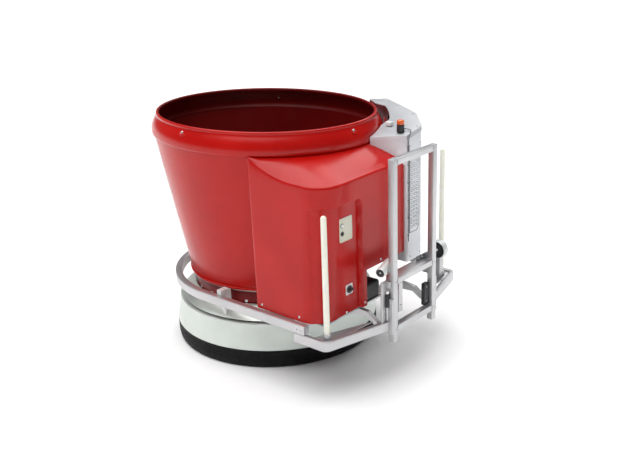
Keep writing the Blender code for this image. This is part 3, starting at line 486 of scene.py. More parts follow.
def make_plastic(name, dark, light, rough, soft=0.0):
    sockets = {"Subsurface Weight": soft, "Subsurface Radius": (0.01, 0.008, 0.005)}
    make_finish(name, dark, light, rough, (8.0, 4.0, 0.35), (24.0, 4.0), (650.0, 2.0, 0.06, 0.0005), sockets)


def make_steel(name, dark, light, rough, stretch):
    """Brushed or rolled steel: fine streaks in its tone, its gloss and its skin."""
    streaks = (60.0, 6.0)
    skin = (*streaks, 0.05, 0.0004)
    make_finish(name, dark, light, rough, (*streaks, 0.3), streaks, skin, {"Metallic": 1.0}, stretch)


def make_finishes():
    make_paint("red_paint", (0.46, 0.004, 0.0025), (0.53, 0.007, 0.004), (0.2, 0.27), specular=0.33)
    # A darker copy of the red paint: painted shade for the tub's inside and for the pedestal under the tub.
    make_paint("shaded_red", (0.145, 0.0012, 0.001), (0.185, 0.0025, 0.002), (0.38, 0.5), peel=0.04, specular=0.22)
    make_paint("silver_paint", (0.53, 0.53, 0.54), (0.6, 0.6, 0.61), (0.33, 0.41), metallic=0.8, flake=0.006)
    make_paint("grey_paint", (0.7, 0.72, 0.75), (0.77, 0.79, 0.82), (0.4, 0.5), metallic=0.3, flake=0.01)
    make_paint("lid_paint", (0.46, 0.47, 0.49), (0.53, 0.54, 0.56), (0.36, 0.46), metallic=0.3, flake=0.03)
    make_paint("sensor_shell", (0.74, 0.77, 0.76), (0.82, 0.85, 0.84), (0.25, 0.36), metallic=0.15, flake=0.01)
    make_paint("skirt_paint", (0.66, 0.72, 0.67), (0.74, 0.8, 0.75), (0.3, 0.42), metallic=0.45, flake=0.01)
    make_paint("motor_grey", (0.16, 0.17, 0.19), (0.24, 0.25, 0.27), (0.45, 0.6), metallic=0.3, peel=0.2)
    make_rubber("black_rubber", (0.003, 0.003, 0.003), (0.007, 0.007, 0.007), (0.5, 0.7))
    make_rubber("tyre_rubber", (0.014, 0.014, 0.014), (0.03, 0.029, 0.028), (0.7, 0.9))
    make_plastic("black_plastic", (0.014, 0.014, 0.016), (0.03, 0.03, 0.034), (0.3, 0.48))
    make_plastic("ivory_plastic", (0.95, 0.945, 0.8), (0.98, 0.975, 0.88), (0.25, 0.4), soft=0.15)
    make_plastic("pale_plastic", (0.66, 0.67, 0.52), (0.74, 0.75, 0.62), (0.32, 0.45))
    make_plastic("white_plastic", (0.82, 0.82, 0.82), (0.9, 0.9, 0.9), (0.3, 0.42))
    make_steel("bare_steel", (0.44, 0.44, 0.43), (0.58, 0.58, 0.57), (0.24, 0.42), (1, 1, 14))
    make_steel("worn_steel", (0.3, 0.27, 0.24), (0.55, 0.53, 0.5), (0.3, 0.55), (1, 1, 2))
    make_steel("bright_bolt", (0.62, 0.62, 0.62), (0.74, 0.74, 0.74), (0.18, 0.3), (1, 1, 1))
    lens = {"Coat Weight": 0.6, "Subsurface Weight": 0.3, "Subsurface Radius": (0.02, 0.006, 0.002)}
    tone, gloss = (40.0, 4.0, 0.3), (60.0, 4.0)
    make_finish("orange_lens", (0.75, 0.09, 0.005), (0.95, 0.2, 0.02), (0.1, 0.22), tone, gloss, None, lens)


# ---- Tub


def tub_place(angle, share, offset=0.0, lift=0.0):
    """A point of the tub's wall, at a share of its height."""
    grow = TUB_SWELL * 4 * share * (1 - share) + offset
    half_x, half_y = (TUB_BOTTOM_R * (1 - share) + top * share + grow for top in TUB_TOP_HALF)
    x, y = half_x * cos(angle), TUB_TOP_Y * share + half_y * sin(angle)
    return (x, y, TUB_LOW.z + (TUB_HIGH.z - TUB_LOW.z) * share + lift)


def tub_ring(share, offset=0.0, lift=0.0, count=RIM_STEPS):
    return [tub_place(angle, share, offset, lift) for angle in around(count)]


def rim_xy(angle, grow):
    """A point in the plane, a distance outside the oval of the rim's lip."""
    return (LIP_HALF[0] + grow) * cos(angle), TUB_TOP_Y + (LIP_HALF[1] + grow) * sin(angle)


def rim_arc(grow, start, end, steps):
    """Points round the rim, a distance outside it, between two angles in degrees."""
    return [rim_xy(radians(start + (end - start) * i / steps), grow) for i in range(steps + 1)]


def make_tub():
    shares = [i / 12 for i in range(13)]
    flange = [tub_ring(0.0, offset, lift) for offset, lift in ((0.013, 0.0), (0.014, 0.004), (0.014, 0.015))]
    flange += [tub_ring(0.0, 0.01, 0.018), tub_ring(0.016, 0.001)]
    outer = [tub_ring(share) for share in shares[1:]]
    inner = [tub_ring(share, -TUB_WALL) for share in shares[::-1]]
    tub = add("tub_body", loft(flange + outer + inner, loop=True), "red_paint", replaces=["tub_shell"])
    carve(tub, box((-0.14, -0.2, -0.16), (0.14, 0.1, 0.1)), door_matrix())
    paint_shade_inside(tub)
    # The tub is rolled from one sheet, butt-welded at its back, and welded to its floor.
    seam = [tub_place(radians(95), share / 40, 0.0004) for share in range(1, 40)]
    wire("rear_tub_seam", seam, 0.0022, "red_paint")
    floor = tub_ring(0.012, -TUB_WALL - 0.002, count=96)
    wire("tub_floor_weld", floor + floor[:1], 0.005, "worn_steel")
    make_rim()


def paint_shade_inside(obj):
    """Gives the faces that look in towards the tub's middle a darker copy of the red paint: painted shade of the tub's
    inside.
    """
    mesh = obj.data
    mesh.materials.append(FINISHES["shaded_red"])
    for face in mesh.polygons:
        away = face.center - SHIFT - Vector((0, TUB_TOP_Y, 0))
        if away.x * face.normal.x + away.y * face.normal.y < -0.05:
            face.material_index = 1


def door_matrix():
    """The discharge door's axes: along the tub's wall, straight out of it and up its slope."""
    angle = radians(DOOR_ANGLE)
    share = (DOOR_Z - TUB_LOW.z) / (TUB_HIGH.z - TUB_LOW.z)
    middle, low, high = (Vector(tub_place(angle, share + step)) for step in (0, -0.15, 0.15))
    along = (high - low).normalized()
    side = Vector((sin(angle), -cos(angle), 0))
    side = (side - along * side.dot(along)).normalized()
    out = along.cross(side)
    return Matrix.Translation(middle) @ Matrix((side, out, along)).transposed().to_4x4()


def rim_outline():
    """The rim band's section, as (distance outside the lip's oval, z)."""
    low = RIM_LOW.z
    outer = [(0.044, low), (0.052, low), (0.058, low + 0.004), (0.0615, low + 0.014), (0.063, low + 0.03)]
    outer += [(0.0615, 1.77), (0.057, 1.79), (0.05, 1.81), (0.04, 1.83), (0.029, 1.848), (0.021, 1.86)]
    outer += [(0.0175, 1.8665), (0.016, 1.872)]
    bead = arc((0.0045, 1.8825), 0.013, -30, 190, 12)
    inner = [(-0.007, 1.87), (0.006, 1.858), (0.022, 1.836), (0.036, 1.81), (0.046, 1.78), (0.048, 1.755)]
    inner += [(0.044, 1.738), (0.034, 1.728), (0.031, low)]
    return outer + bead + inner


def make_rim():
    rings = [[(*rim_xy(angle, offset), z) for angle in around(RIM_STEPS)] for offset, z in rim_outline()]
    rim = add("rim", loft(rings, loop=True), "red_paint", replaces=["rim_band"], angle=50)
    paint_shade_inside(rim)
    outside = [rim_place(degrees, 0.03, 1.846, 1.0, 0.75) for degrees in (175, 265, 355, 85)]
    inside = [rim_place(degrees, 0.04, 1.8, -1.0, 0.2) for degrees in (31, 149)]
    bolts = [dome_bolt(place + out * 0.002, out, 0.011) for place, out in outside]
    bolts += [dome_bolt(place + out * 0.002, out, 0.011 * 0.8) for place, out in inside]
    add("rim_bolts", bolts, "bright_bolt")
    # Each bolt outside sits in a pressed dish.
    dish = [(0.015, 0.0005), (0.022, 0.0015), (0.027, 0.0035), (0.031, 0.003), (0.034, -0.004), (0.015, -0.004)]
    dishes = [pointing(turned(dish, 36, loop=True), place, place + out) for place, out in outside]
    add("rim_dishes", dishes, "red_paint")


def rim_place(degrees, offset, z, side, lift):
    """A point on the rim's band and the way that a bolt there faces: side is 1 outside and -1 inside."""
    angle = radians(degrees)
    half_x, half_y = LIP_HALF[0] + offset, LIP_HALF[1] + offset
    out = Vector((side * cos(angle) / half_x, side * sin(angle) / half_y, 0)).normalized()
    return Vector((*rim_xy(angle, offset), z)), (out + Vector((0, 0, lift))).normalized()


# ---- Base and skirt


def make_base():
    low, high = place_of("tub_pedestal")
    radius = high.x - 0.012
    top, bottom = high.z, low.z
    flange = ((-0.03, 0), (0.011, 0), (0.012, -0.002), (0.012, -0.013), (0.009, -0.016), (0, -0.02))
    profile = from_corner(radius, top, flange)
    profile += from_corner(radius, bottom, ((0, 0.004), (0.004, 0), (-0.012, 0)))
    profile += from_corner(radius, top, ((-0.012, -0.015), (-0.03, -0.015)))
    # The pedestal takes the darker copy of the red paint, as painted shade under the tub.
    add("pedestal", turned(profile, 128, loop=True), "shaded_red", replaces=["tub_pedestal"])
    bolts = []
    for i in range(PEDESTAL_BOLTS):
        angle = TURN * (i + 0.5) / PEDESTAL_BOLTS
        out = Vector((cos(angle), sin(angle), 0))
        bolts.append(bolt(out * radius + Vector((0, 0, bottom + 0.09)), out, 0.009))
    add("pedestal_bolts", bolts, "bright_bolt")


def make_skirt():
    lip_r, lip_top = SKIRT_HIGH.x, SKIRT_LOW.z
    top, top_r, race = SKIRT_HIGH.z, 0.812, 0.767
    outer = [(race, top)] + arc((top_r - 0.002, top - 0.009), 0.009, 90, -8, 8)
    for share in (0.1, 0.35, 0.6, 0.85, 1.0):
        z = top - 0.01 + (lip_top + 0.012 - top + 0.01) * share
        outer.append((top_r + 0.007 + (lip_r - top_r - 0.007) * share, z))
    foot = ((0.0004, 0.004), (-0.002, 0), (-0.03, 0), (-0.03, 0.007), (-0.008, 0.007))
    inner = [(top_r, top - 0.014), (race + 0.008, top - 0.008)]
    inner += from_corner(race, 0.3, ((0.008, 0.002), (0.004, 0), (0, 0.002)))
    shell = turned(outer + from_corner(lip_r, lip_top, foot) + inner, SKIRT_STEPS, loop=True)
    add("skirt_shell", shell, "skirt_paint", "skirt", ["skirt_ring"], angle=30)
    low, high = place_of("skirt_lip")
    edge = from_corner(lip_r, high.z, ((-0.03, 0), (-0.002, 0), (0, -0.002)))
    for i in range(1, 5):
        edge += from_corner(lip_r, high.z - 0.022 * i, ((0.001, 0.003), (-0.0006, 0), (0.001, -0.003)))
    edge += from_corner(lip_r, 0, ((-0.001, 0.045), (-0.004, 0.028), (-0.01, 0.012)))
    edge += from_corner(lip_r, low.z, ((-0.016, 0), (-0.034, 0), (-0.036, 0.003)))
    add("rubber_lip", turned(edge, SKIRT_STEPS, loop=True), "black_rubber", "skirt", ["skirt_lip"], angle=35)


def make_apron():
    """A cone of sheet, on the deck's edge, that closes the gap between the turning skirt and the tub's foot."""
    low, high = place_of("tub_pedestal")
    top_r, top = high.x - 0.002, low.z + 0.075
    edge_r, edge = SKIRT_HIGH.x - 0.06, SKIRT_HIGH.z + 0.013
    profile = from_corner(edge_r, edge, ((0, 0), (0.002, 0.003), (-0.006, 0.0085)))
    collar = ((0.03, -0.004), (0.012, 0.001), (0, 0.001), (0, -0.003), (0.028, -0.009))
    profile += from_corner(top_r, top, collar)
    add("skirt_apron", turned(profile, 160, loop=True), "skirt_paint", angle=50)


# ---- Bumper frame


def hoop_path():
    """Along the hoop's outer side, from the end of one leg round the back to the end of the other."""
    path = [(-HOOP_R, HOOP_LOW.y)]
    for i in range(HOOP_STEPS + 1):
        angle = pi * i / HOOP_STEPS
        path.append((-HOOP_R * cos(angle), HOOP_R * sin(angle)))
    return path + [(HOOP_R, HOOP_LOW.y)]


def make_hoop():
    section = bar_section(0.0, -HOOP_THICK, HOOP_LOW.z, HOOP_HIGH.z, 0.006)
    add("hoop", swept(hoop_path(), section), "silver_paint", "bumper", ["bumper_hoop"], angle=50)
    bolts = []
    for side in (-1, 1):
        for y in (-0.995, -1.035):
            bolts.append(dome_bolt((side * HOOP_R, y, HOOP_LOW.z + 0.035), (side, 0, 0), 0.009))
    add("hoop_bolts", bolts, "bright_bolt", "bumper")


def make_corner_bars():
    foot = (MAST_LOW.x - 0.01, MAST_Y + 0.01)
    path = fillet([(-HOOP_R, -0.96), (-HOOP_R, CORNER_Y), foot], 0.06, 10, closed=False)
    section = bar_section(0.0, -CORNER_BAR_THICK, BAR_LOW.z + 0.027, HOOP_LOW.z - 0.0006, 0.005)
    bar = swept(path[::-1], section)
    inner = [tuple(point) for point in beside(path[::-1], -0.02)][::-1]
    gusset = plate(inner[1:-1] + [(-0.33, -1.29), (-0.79, -1.11)], HOOP_LOW.z - 0.024, HOOP_LOW.z - 0.014, 0.002)
    side = box((foot[0] - 0.004, MAST_Y - 0.022, 0.405), (foot[0] + 0.0097, MAST_Y + 0.022, 0.69), 0.003)
    upright = box((-0.35, MAST_Y + 0.032, 0.45), (-0.29, MAST_Y + 0.044, 0.83), 0.002)
    tab = box((-0.3, MAST_Y - 0.005, 0.78), (MAST_LOW.x - 0.0003, MAST_Y + 0.044, 0.83), 0.003)
    both = joined(bar, gusset, side)
    add("left_corner", mirrored(both), "silver_paint", "bumper", ["left_corner_bar"], angle=50)
    add("right_corner", [both, upright, tab], "silver_paint", "bumper", ["right_corner_bar"], angle=50)
    bolts = []
    for sign in (-1, 1):
        for z in (0.545, 0.6, 0.655):
            bolts.append(dome_bolt((sign * -(foot[0] - 0.004), MAST_Y, z), (sign, 0, 0), 0.008))
    for z in (0.6, 0.74, 0.805):
        bolts.append(dome_bolt((-0.32, MAST_Y + 0.032, z), FRONT, 0.007))
    add("corner_bolts", bolts, "bright_bolt", "bumper")


def make_ladder():
    for name in ("right_mast", "left_mast"):
        add(f"{name}_tube", box(*place_of(name), 0.005), "silver_paint", "bumper", [name], angle=50)
    welds = []
    for name in ("ladder_top_bar", "ladder_upper_crossbar", "ladder_lower_crossbar"):
        low, high = place_of(name)
        shape = box(low, high, 0.004)
        if name == "ladder_upper_crossbar":
            top = high.z - BAR_HEIGHT
            bracket = box((-0.15, MAST_Y + 0.02, low.z), (-0.105, MAST_Y + 0.032, top + 0.01), 0.002)
            shape = [box((low.x, low.y, top), high, 0.004), bracket]
        add(f"{name}_tube", shape, "silver_paint", "bumper", [name], angle=50)
        for x in (low.x, high.x):
            foot = max(low.z, high.z - BAR_HEIGHT)
            run = [(x, low.y + 0.004, foot), (x, low.y, foot + 0.004), (x, low.y, high.z - 0.004)]
            run += [(x, low.y + 0.004, high.z), (x, MAST_HIGH.y, high.z)]
            welds.append(weld_bead(run, 0.0035, len(welds)))
    make_ladder_trim()
    add("ladder_welds", welds, "silver_paint", "bumper")


def make_ladder_trim():
    """The switches, the hinge bracket and the end caps on the ladder."""
    inner = MAST_X - 0.025
    switch = box((inner - 0.058, MAST_Y + 0.006, 0.47), (inner - 0.0005, MAST_Y + 0.04, 0.65), 0.006)
    small = box((-MAST_X - 0.052, MAST_Y + 0.01, 0.62), (-MAST_X - 0.0255, MAST_Y + 0.03, 0.725), 0.004)
    add("bumper_switches", [switch, small], "black_plastic", "bumper")
    hinge = box((inner - 0.1, MAST_Y + 0.05, 0.79), (inner + 0.03, MAST_Y + 0.058, 0.88), 0.002)
    ear = box((inner - 0.012, MAST_Y + 0.0255, 0.785), (inner + 0.03, MAST_Y + 0.052, 0.885), 0.003)
    add("hinge_bracket", [hinge, ear], "motor_grey", "bumper")
    bolts = [bolt((inner - x, MAST_Y + 0.05, 0.865), FRONT, 0.008) for x in (0.08, 0.03)]
    bolts += [dome_bolt((inner - 0.03, MAST_Y + 0.006, z), FRONT, 0.006) for z in (0.5, 0.62)]
    bolts += [bolt((-0.1275, MAST_Y + 0.02, z), FRONT, 0.007) for z in (0.58, 0.76)]
    caps = []
    for x in (-MAST_X, MAST_X):
        for z in (MAST_HIGH.z - 0.023, 0.819, 0.438):
            bolts.append(dome_bolt((x, MAST_Y - 0.025, z), FRONT, 0.006))
        for z in (MAST_HIGH.z - 0.001, MAST_LOW.z + 0.001):
            caps.append(box((x - 0.021, MAST_Y - 0.021, z - 0.0025), (x + 0.021, MAST_Y + 0.021, z + 0.0025), 0.001))
    add("ladder_bolts", bolts, "bright_bolt", "bumper")
    add("mast_caps", caps, "silver_paint", "bumper")


def make_rods():
    for name in ("right_marker_rod", "left_marker_rod"):
        low, high = place_of(name)
        stand = Matrix.Translation(((low.x + high.x) / 2, (low.y + high.y) / 2, 0))
        foot_r, foot, top = (high.x - low.x) / 2, low.z, high.z
        profile = arc((0.0, top - 0.021), 0.021, 90, 0, 8)
        profile += [(0.0214, top - 0.2), (foot_r, foot + 0.06), (foot_r, foot)]
        add(f"{name}_body", moved(turned(profile, 40), stand), "ivory_plastic", "bumper", [name])
        collar = from_corner(foot_r, foot, ((0.001, 0.05), (0.006, 0.048), (0.008, 0.004), (0.001, 0.002)))
        add(f"{name}_collar", moved(turned(collar, 40, loop=True), stand), "silver_paint", "bumper")


def sensor_can(radius, length):
    """A round sensor along +Z, hollow at its face and with two raised bands."""
    profile = [(0, 0)] + from_corner(radius, 0, ((-0.006, 0), (-0.002, 0.002), (0, 0.007)))
    profile += from_corner(radius, length, ((0, -0.004), (-0.003, 0), (-0.006, 0), (-0.006, -0.006)))
    shapes = [turned(profile + [(0, length - 0.006)])]
    for share in (0.18, 0.8):
        band = ((-0.001, -0.004), (0.0012, -0.0024), (0.0012, 0.0024), (-0.001, 0.004))
        shapes.append(turned(from_corner(radius, length * share, band), loop=True))
    return joined(*shapes)


def sensor_face(radius, length):
    """The sensor's black face, with a ring round its middle."""
    points = ((0, 0.0052), (0.16, 0.0052), (0.2, 0.003), (0.3, 0.003), (0.34, 0.0055))
    points += ((0.92, 0.0055), (0.96, 0.002), (1, 0.002), (1, 0.008), (0, 0.008))
    return turned([((radius - 0.006) * share, length - depth) for share, depth in points])


def make_sensor(name, radius, tail, face, eye):
    """A sensor can with its face and its eye, a lens of two radii."""
    tail, face = Vector(tail), Vector(face)
    length = (face - tail).length
    can = pointing(sensor_can(radius, length), tail, face)
    add(name, can, "sensor_shell", "bumper", [name.replace("_", "_distance_")])
    add(f"{name}_face", pointing(sensor_face(radius, length), tail, face), "black_plastic", "bumper")
    points = ((0, 0.0022), (eye[0], 0.0024), (eye[1], 0.0034), (eye[1], 0.006), (0, 0.006))
    lens = turned([(r, length - depth) for r, depth in points], 24)
    add(f"{name}_eye", pointing(lens, tail, face), "white_plastic", "bumper")


def make_sensors():
    make_sensor("right_sensor", 0.037, (-0.165, -1.33, 0.925), (-0.343, -1.37, 0.902), (0.004, 0.0065))
    foot = box((-0.215, -1.362, 0.8423), (-0.165, -1.337, 0.91), 0.003)
    add("right_sensor_foot", foot, "silver_paint", "bumper")
    make_sensor("left_sensor", 0.075, (0.678, -1.225, 0.75), (0.618, -1.225, 0.75), (0.007, 0.0105))
    stem = box((0.63, -1.25, HOOP_LOW.z - 0.014), (0.67, -1.2, 0.685), 0.003)
    add("left_sensor_stem", stem, "silver_paint", "bumper")


# ---- Cover and controls


def smoothstep(value):
    value = min(max(value, 0.0), 1.0)
    return value * value * (3 - 2 * value)


def cover_path(z):
    """The cover's outer face at one height, from its rear edge on the right round to its left end."""
    share = (z - COVER_BOTTOM) / (TUB_HIGH.z - COVER_BOTTOM)
    side = SIDE_BOTTOM_X + (SIDE_TOP_X - SIDE_BOTTOM_X) * share
    rear = REAR_BOTTOM_Y + (REAR_TOP_Y - REAR_BOTTOM_Y) * share
    start = (side + 0.15, rear + 0.122)
    path = fillet([start, (side, rear), (side, -0.8)], 0.045, 8, closed=False)[:-1]
    path += [(side, rear - 0.06 - (rear + 0.9) * i / 9) for i in range(1, 9)]
    corner = fillet([(side, -0.95), (side, COVER_Y), (-0.3, COVER_Y)], 0.2, 40, closed=False)[1:-1]
    path += corner
    run = COVER_END_X - corner[-1][0]
    return path + [(corner[-1][0] + run * i / FRONT_STEPS, COVER_Y) for i in range(1, FRONT_STEPS + 1)]


def set_back(path, z):
    """The cover's wall at one height, with the fascia's recess pressed in along its normals."""
    corner_end = min(range(len(path)), key=lambda i: abs(path[i][0] - CORNER_END_X) + 9 * (path[i][1] > -1.19))
    lengths = [0.0]
    for a, b in zip(path, path[1:]):
        lengths.append(lengths[-1] + dist(a, b))
    row = []
    for i, (x, y) in enumerate(path):
        along = lengths[i] - lengths[corner_end]
        a, b = path[max(i - 1, 0)], path[min(i + 1, len(path) - 1)]
        step = Vector((b[0] - a[0], b[1] - a[1])).normalized()
        depth = recess(along, z) if y < -0.9 else 0.0
        row.append(Vector((x - step.y * depth, y + step.x * depth, z)))
    return row


def crease_height(y):
    """The cover's top edge is level along the front and rises to the rim band at the rear."""
    return COVER_CREASE + 0.118 * min(max((y + 0.95) / 0.45, 0.0), 1.0) ** 2


def roof_point(x, y):
    angle = atan2((y - TUB_TOP_Y) / TUB_TOP_HALF[1], x / TUB_TOP_HALF[0])
    angle += radians(3.6) * min(max((x + 0.3) / 0.5, 0.0), 1.0)
    reach = 0.006
    half_x, half_y = TUB_TOP_HALF[0] + reach, TUB_TOP_HALF[1] + reach
    return Vector((half_x * cos(angle), TUB_TOP_Y + half_y * sin(angle), TUB_HIGH.z - 0.006))


def recess(along, z):
    """How deep the control fascia is set back, at a distance along the cover from the end of its corner."""
    left, right = RECESS_LEFT, FASCIA_HIGH.x + 0.014 - CORNER_END_X
    middle, half = (left + right) / 2, (right - left) / 2
    round_r, slope = 0.04, 0.012
    top = FASCIA_HIGH.z + 0.01
    across = abs(along - middle) - (half - round_r)
    up = z - (top - round_r)
    outside = hypot(max(across, 0), max(up, 0)) + min(max(across, up), 0) - round_r
    shallow = 1.0 - 0.75 * smoothstep((0.02 - along) / 0.2)
    return (FASCIA_Y + 0.0025 - COVER_Y) * shallow * smoothstep(-outside / slope)


def cover_rows():
    """Heights of the cover's rows, closer together round the top of the recess."""
    rows = [COVER_BOTTOM, COVER_BOTTOM + 0.004]
    z = COVER_BOTTOM + 0.015
    while z < COVER_CREASE - CREASE_ROUND - 0.006:
        rows.append(z)
        z += 0.003 if abs(z - FASCIA_HIGH.z) < 0.04 else 0.016
    return rows


def make_cover():
    rows = [set_back(cover_path(z), z) for z in cover_rows()]
    top = cover_path(COVER_CREASE)
    walls = cover_path(COVER_CREASE - CREASE_ROUND)
    creases = [Vector((x * 0.997, y * 0.998, crease_height(y))) for x, y in top]
    roofs = [roof_point(x, y) for x, y in top]
    for share in [i / 6 for i in range(7)]:
        row = []
        for (_, y), (wx, wy), crease, roof in zip(top, walls, creases, roofs):
            low = Vector((wx, wy, crease_height(y) - CREASE_ROUND))
            end = crease.lerp(roof, ROOF_START)
            row.append(low * (1 - share) ** 2 + crease * 2 * share * (1 - share) + end * share**2)
        rows.append(row)
    for i in range(1, 13):
        share = ROOF_START + (1 - ROOF_START) * i / 12
        row = [crease.lerp(roof, share) for crease, roof in zip(creases, roofs)]
        for point in row:
            point.z += 0.01 * sin(pi * share)
        rows.append(row)
    stands_for = ["front_cover", "control_fascia"]
    shell = add("cover_shell", loft(rows, sheet=True), "red_paint", replaces=stands_for, angle=50)
    # The sheet gets its thickness, and its front corner on the left ends higher up.
    carve(shell, box((COVER_STEP_X, -1.4, 0.4), (0.6, -0.7, COVER_RAISED)), sheet=COVER_SHEET)
    smooth(shell.data, 50)


def make_cover_bolts():
    bolts = [dome_bolt((-0.789, y, 0.612), (-1, 0, 0), 0.01) for y in (-0.6, -0.97)]
    for x, z in ((-0.52, 0.612), (-0.3, 0.612), (-0.1, 0.895)):
        bolts.append(dome_bolt((x, -1.196, z), FRONT, 0.01))
    bolts.append(dome_bolt((0.12, -1.13, 1.622), (0, -0.43, 0.9), 0.01))
    add("cover_bolts", bolts, "bright_bolt")


def upright_plate(low, high, corner, back, front, face, edge=0.0):
    """A plate with round corners that faces the front, between two corners given in X and Z."""
    outline = fillet(four(low[0], high[0], low[1], high[1]), *corner)
    return moved(plate(outline, back, front, edge), Matrix.Translation((0, face, 0)) @ UPRIGHT)


def make_controls():
    """The control panel with its two buttons, and the main switch below it."""
    low, high = place_of("control_panel")
    face = low.y
    panel = upright_plate((low.x, low.z), (high.x, high.z), (0.012, 5), 0.0, high.y - low.y, high.y, 0.001)
    add("panel_plate", panel, "pale_plastic", replaces=["control_panel"])
    for name, finish in (("start_button", "white_plastic"), ("stop_button", "black_plastic")):
        low, high = place_of(name)
        x, z = (low.x + high.x) / 2, (low.z + high.z) / 2
        radius, depth = (high.x - low.x) / 2, high.y - low.y
        cap = [(0, depth - 0.0005), (radius * 0.6, depth - 0.0012), (radius * 0.85, depth)]
        cap += [(radius - 0.001, depth - 0.0005), (radius, depth - 0.002), (radius, 0.0)]
        add(f"{name}_cap", pointing(turned(cap, 40), (x, high.y, z), (x, low.y, z)), finish, name, [name])
        points = ((0.0012, 0.0), (0.0045, 0.0), (0.004, 0.002), (0.0022, 0.0026), (0.0012, 0.002))
        bezel = turned(from_corner(radius, 0, points), 40, loop=True)
        bezel = pointing(bezel, (x, face, z), (x, low.y - 1, z))
        add(f"{name}_bezel", bezel, "black_plastic")
    make_switch()


def make_switch():
    low, high = place_of("main_switch")
    x, z = (low.x + high.x) / 2, (low.z + high.z) / 2
    half = 0.04
    back = upright_plate((x - half, z - half), (x + half, z + half), (0.008, 4), -0.003, 0.0012, FASCIA_Y)
    add("switch_plate", back, "white_plastic")
    disc = turned([(0, 0.012), (0.02, 0.012), (0.027, 0.01), (0.029, 0.006), (0.029, 0.0018), (0.0, 0.0018)], 40)
    grip = box((x - 0.026, FASCIA_Y - 0.028, z - 0.006), (x + 0.026, FASCIA_Y - 0.01, z + 0.006), 0.003)
    knob = [pointing(disc, (x, FASCIA_Y, z), (x, FASCIA_Y - 1, z)), grip]
    add("switch_knob", knob, "black_plastic", "main_switch", ["main_switch"])


# ---- Discharge housing

HOUSING_OUTLINE = (
    (HOUSING_X, HOUSING_Y),
    (0.39, HOUSING_Y),
    (0.6, -1.03),
    (0.715, -0.79),
    (0.8, -0.6),
    (0.73, -0.43),
)


def lid_height(x):
    return LID_Z + LID_SLOPE * (x - HOUSING_X)


def sloped(mesh):
    """Lifts a mesh's points from nought to the lid's height."""
    for vertex in mesh.vertices:
        vertex.co.z += lid_height(vertex.co.x)
    return mesh


def make_housing():
    dress("discharge_housing", "grey_paint")
    inner = rim_arc(0.066, -31, -37, 4) + rim_arc(0.115, -43, -62, 20) + rim_arc(0.066, -69, WING_ANGLE, 8)
    corners = fillet(list(HOUSING_OUTLINE) + [inner[0]], 0.01, 3, closed=False)[:-1]
    path = [tuple(point) for point in corners]
    lid = sloped(plate(path + inner, -0.0095, 0.0, 0.002))
    skirt = swept(path, four(-0.0008, -0.003, -0.034, -0.001))
    add("lid", [lid, sloped(skirt)], "lid_paint", replaces=["housing_lid"], angle=40)
    bolts = []
    for x, y in ((0.27, -1.2), (0.375, -1.195), (0.57, -1.02), (0.68, -0.79), (0.745, -0.61)):
        bolts.append(dome_bolt((x, y, lid_height(x)), (-LID_SLOPE, 0, 1), 0.008))
    for z in (0.815, 1.7):
        for x in (0.24, 0.375):
            bolts.append(dome_bolt((x, HOUSING_Y, z), FRONT, 0.008))
    near, far = (Vector((x, y, 0)) for x, y in HOUSING_OUTLINE[1:3])
    out = Vector((0.195, -0.21, 0)).normalized()
    for z in (0.9, 1.25, 1.6):
        for share in (0.1, 0.9):
            bolts.append(dome_bolt(near.lerp(far, share) + Vector((0, 0, z)), out, 0.008))
    add("housing_bolts", bolts, "bright_bolt")
    make_housing_inside()
    make_vent()


def make_housing_inside():
    """Black sheets of painted shade behind the gap, the red panel in it and the wing that closes the wall to the rim.
    """
    # Black sheets round and under the red panel stand for the shade down the gap: painted shade.
    section = four(0, 0.004, 1.706, 1.772)
    outer_gap_shade = swept(rim_arc(0.165, -38, -66, 20), section)
    back = swept(rim_arc(0.078, -64, -70, 6), section)
    floor = plate(rim_arc(0.075, -41, -64, 16) + rim_arc(0.16, -64, -41, 16), 1.7, 1.706)
    add("housing_gap_shade", [outer_gap_shade, back, floor], "black_rubber")
    panel = swept(rim_arc(0.094, -62, -45, 16), four(0, 0.004, 1.6, 1.792))
    add("red_panel", panel, "red_paint", replaces=["chute_back_panel"])
    far = rim_arc(0.067, WING_ANGLE, WING_ANGLE, 1)[0]
    x = HOUSING_X - 0.0005
    near = (x, HOUSING_Y + 0.002)
    wing = plate([near, (x, HOUSING_Y + 0.03), (far[0] + 0.008, far[1] + 0.002), far], 0.0, 1.0)
    for vertex in wing.vertices:
        vertex.co.z = 1.56 if vertex.co.z < 0.5 else lid_height(vertex.co.x) - 0.001
    flange = swept([near, far], four(-0.0005, 0.0018, -0.034, -0.001))
    add("housing_wing", [wing, sloped(flange)], "grey_paint")


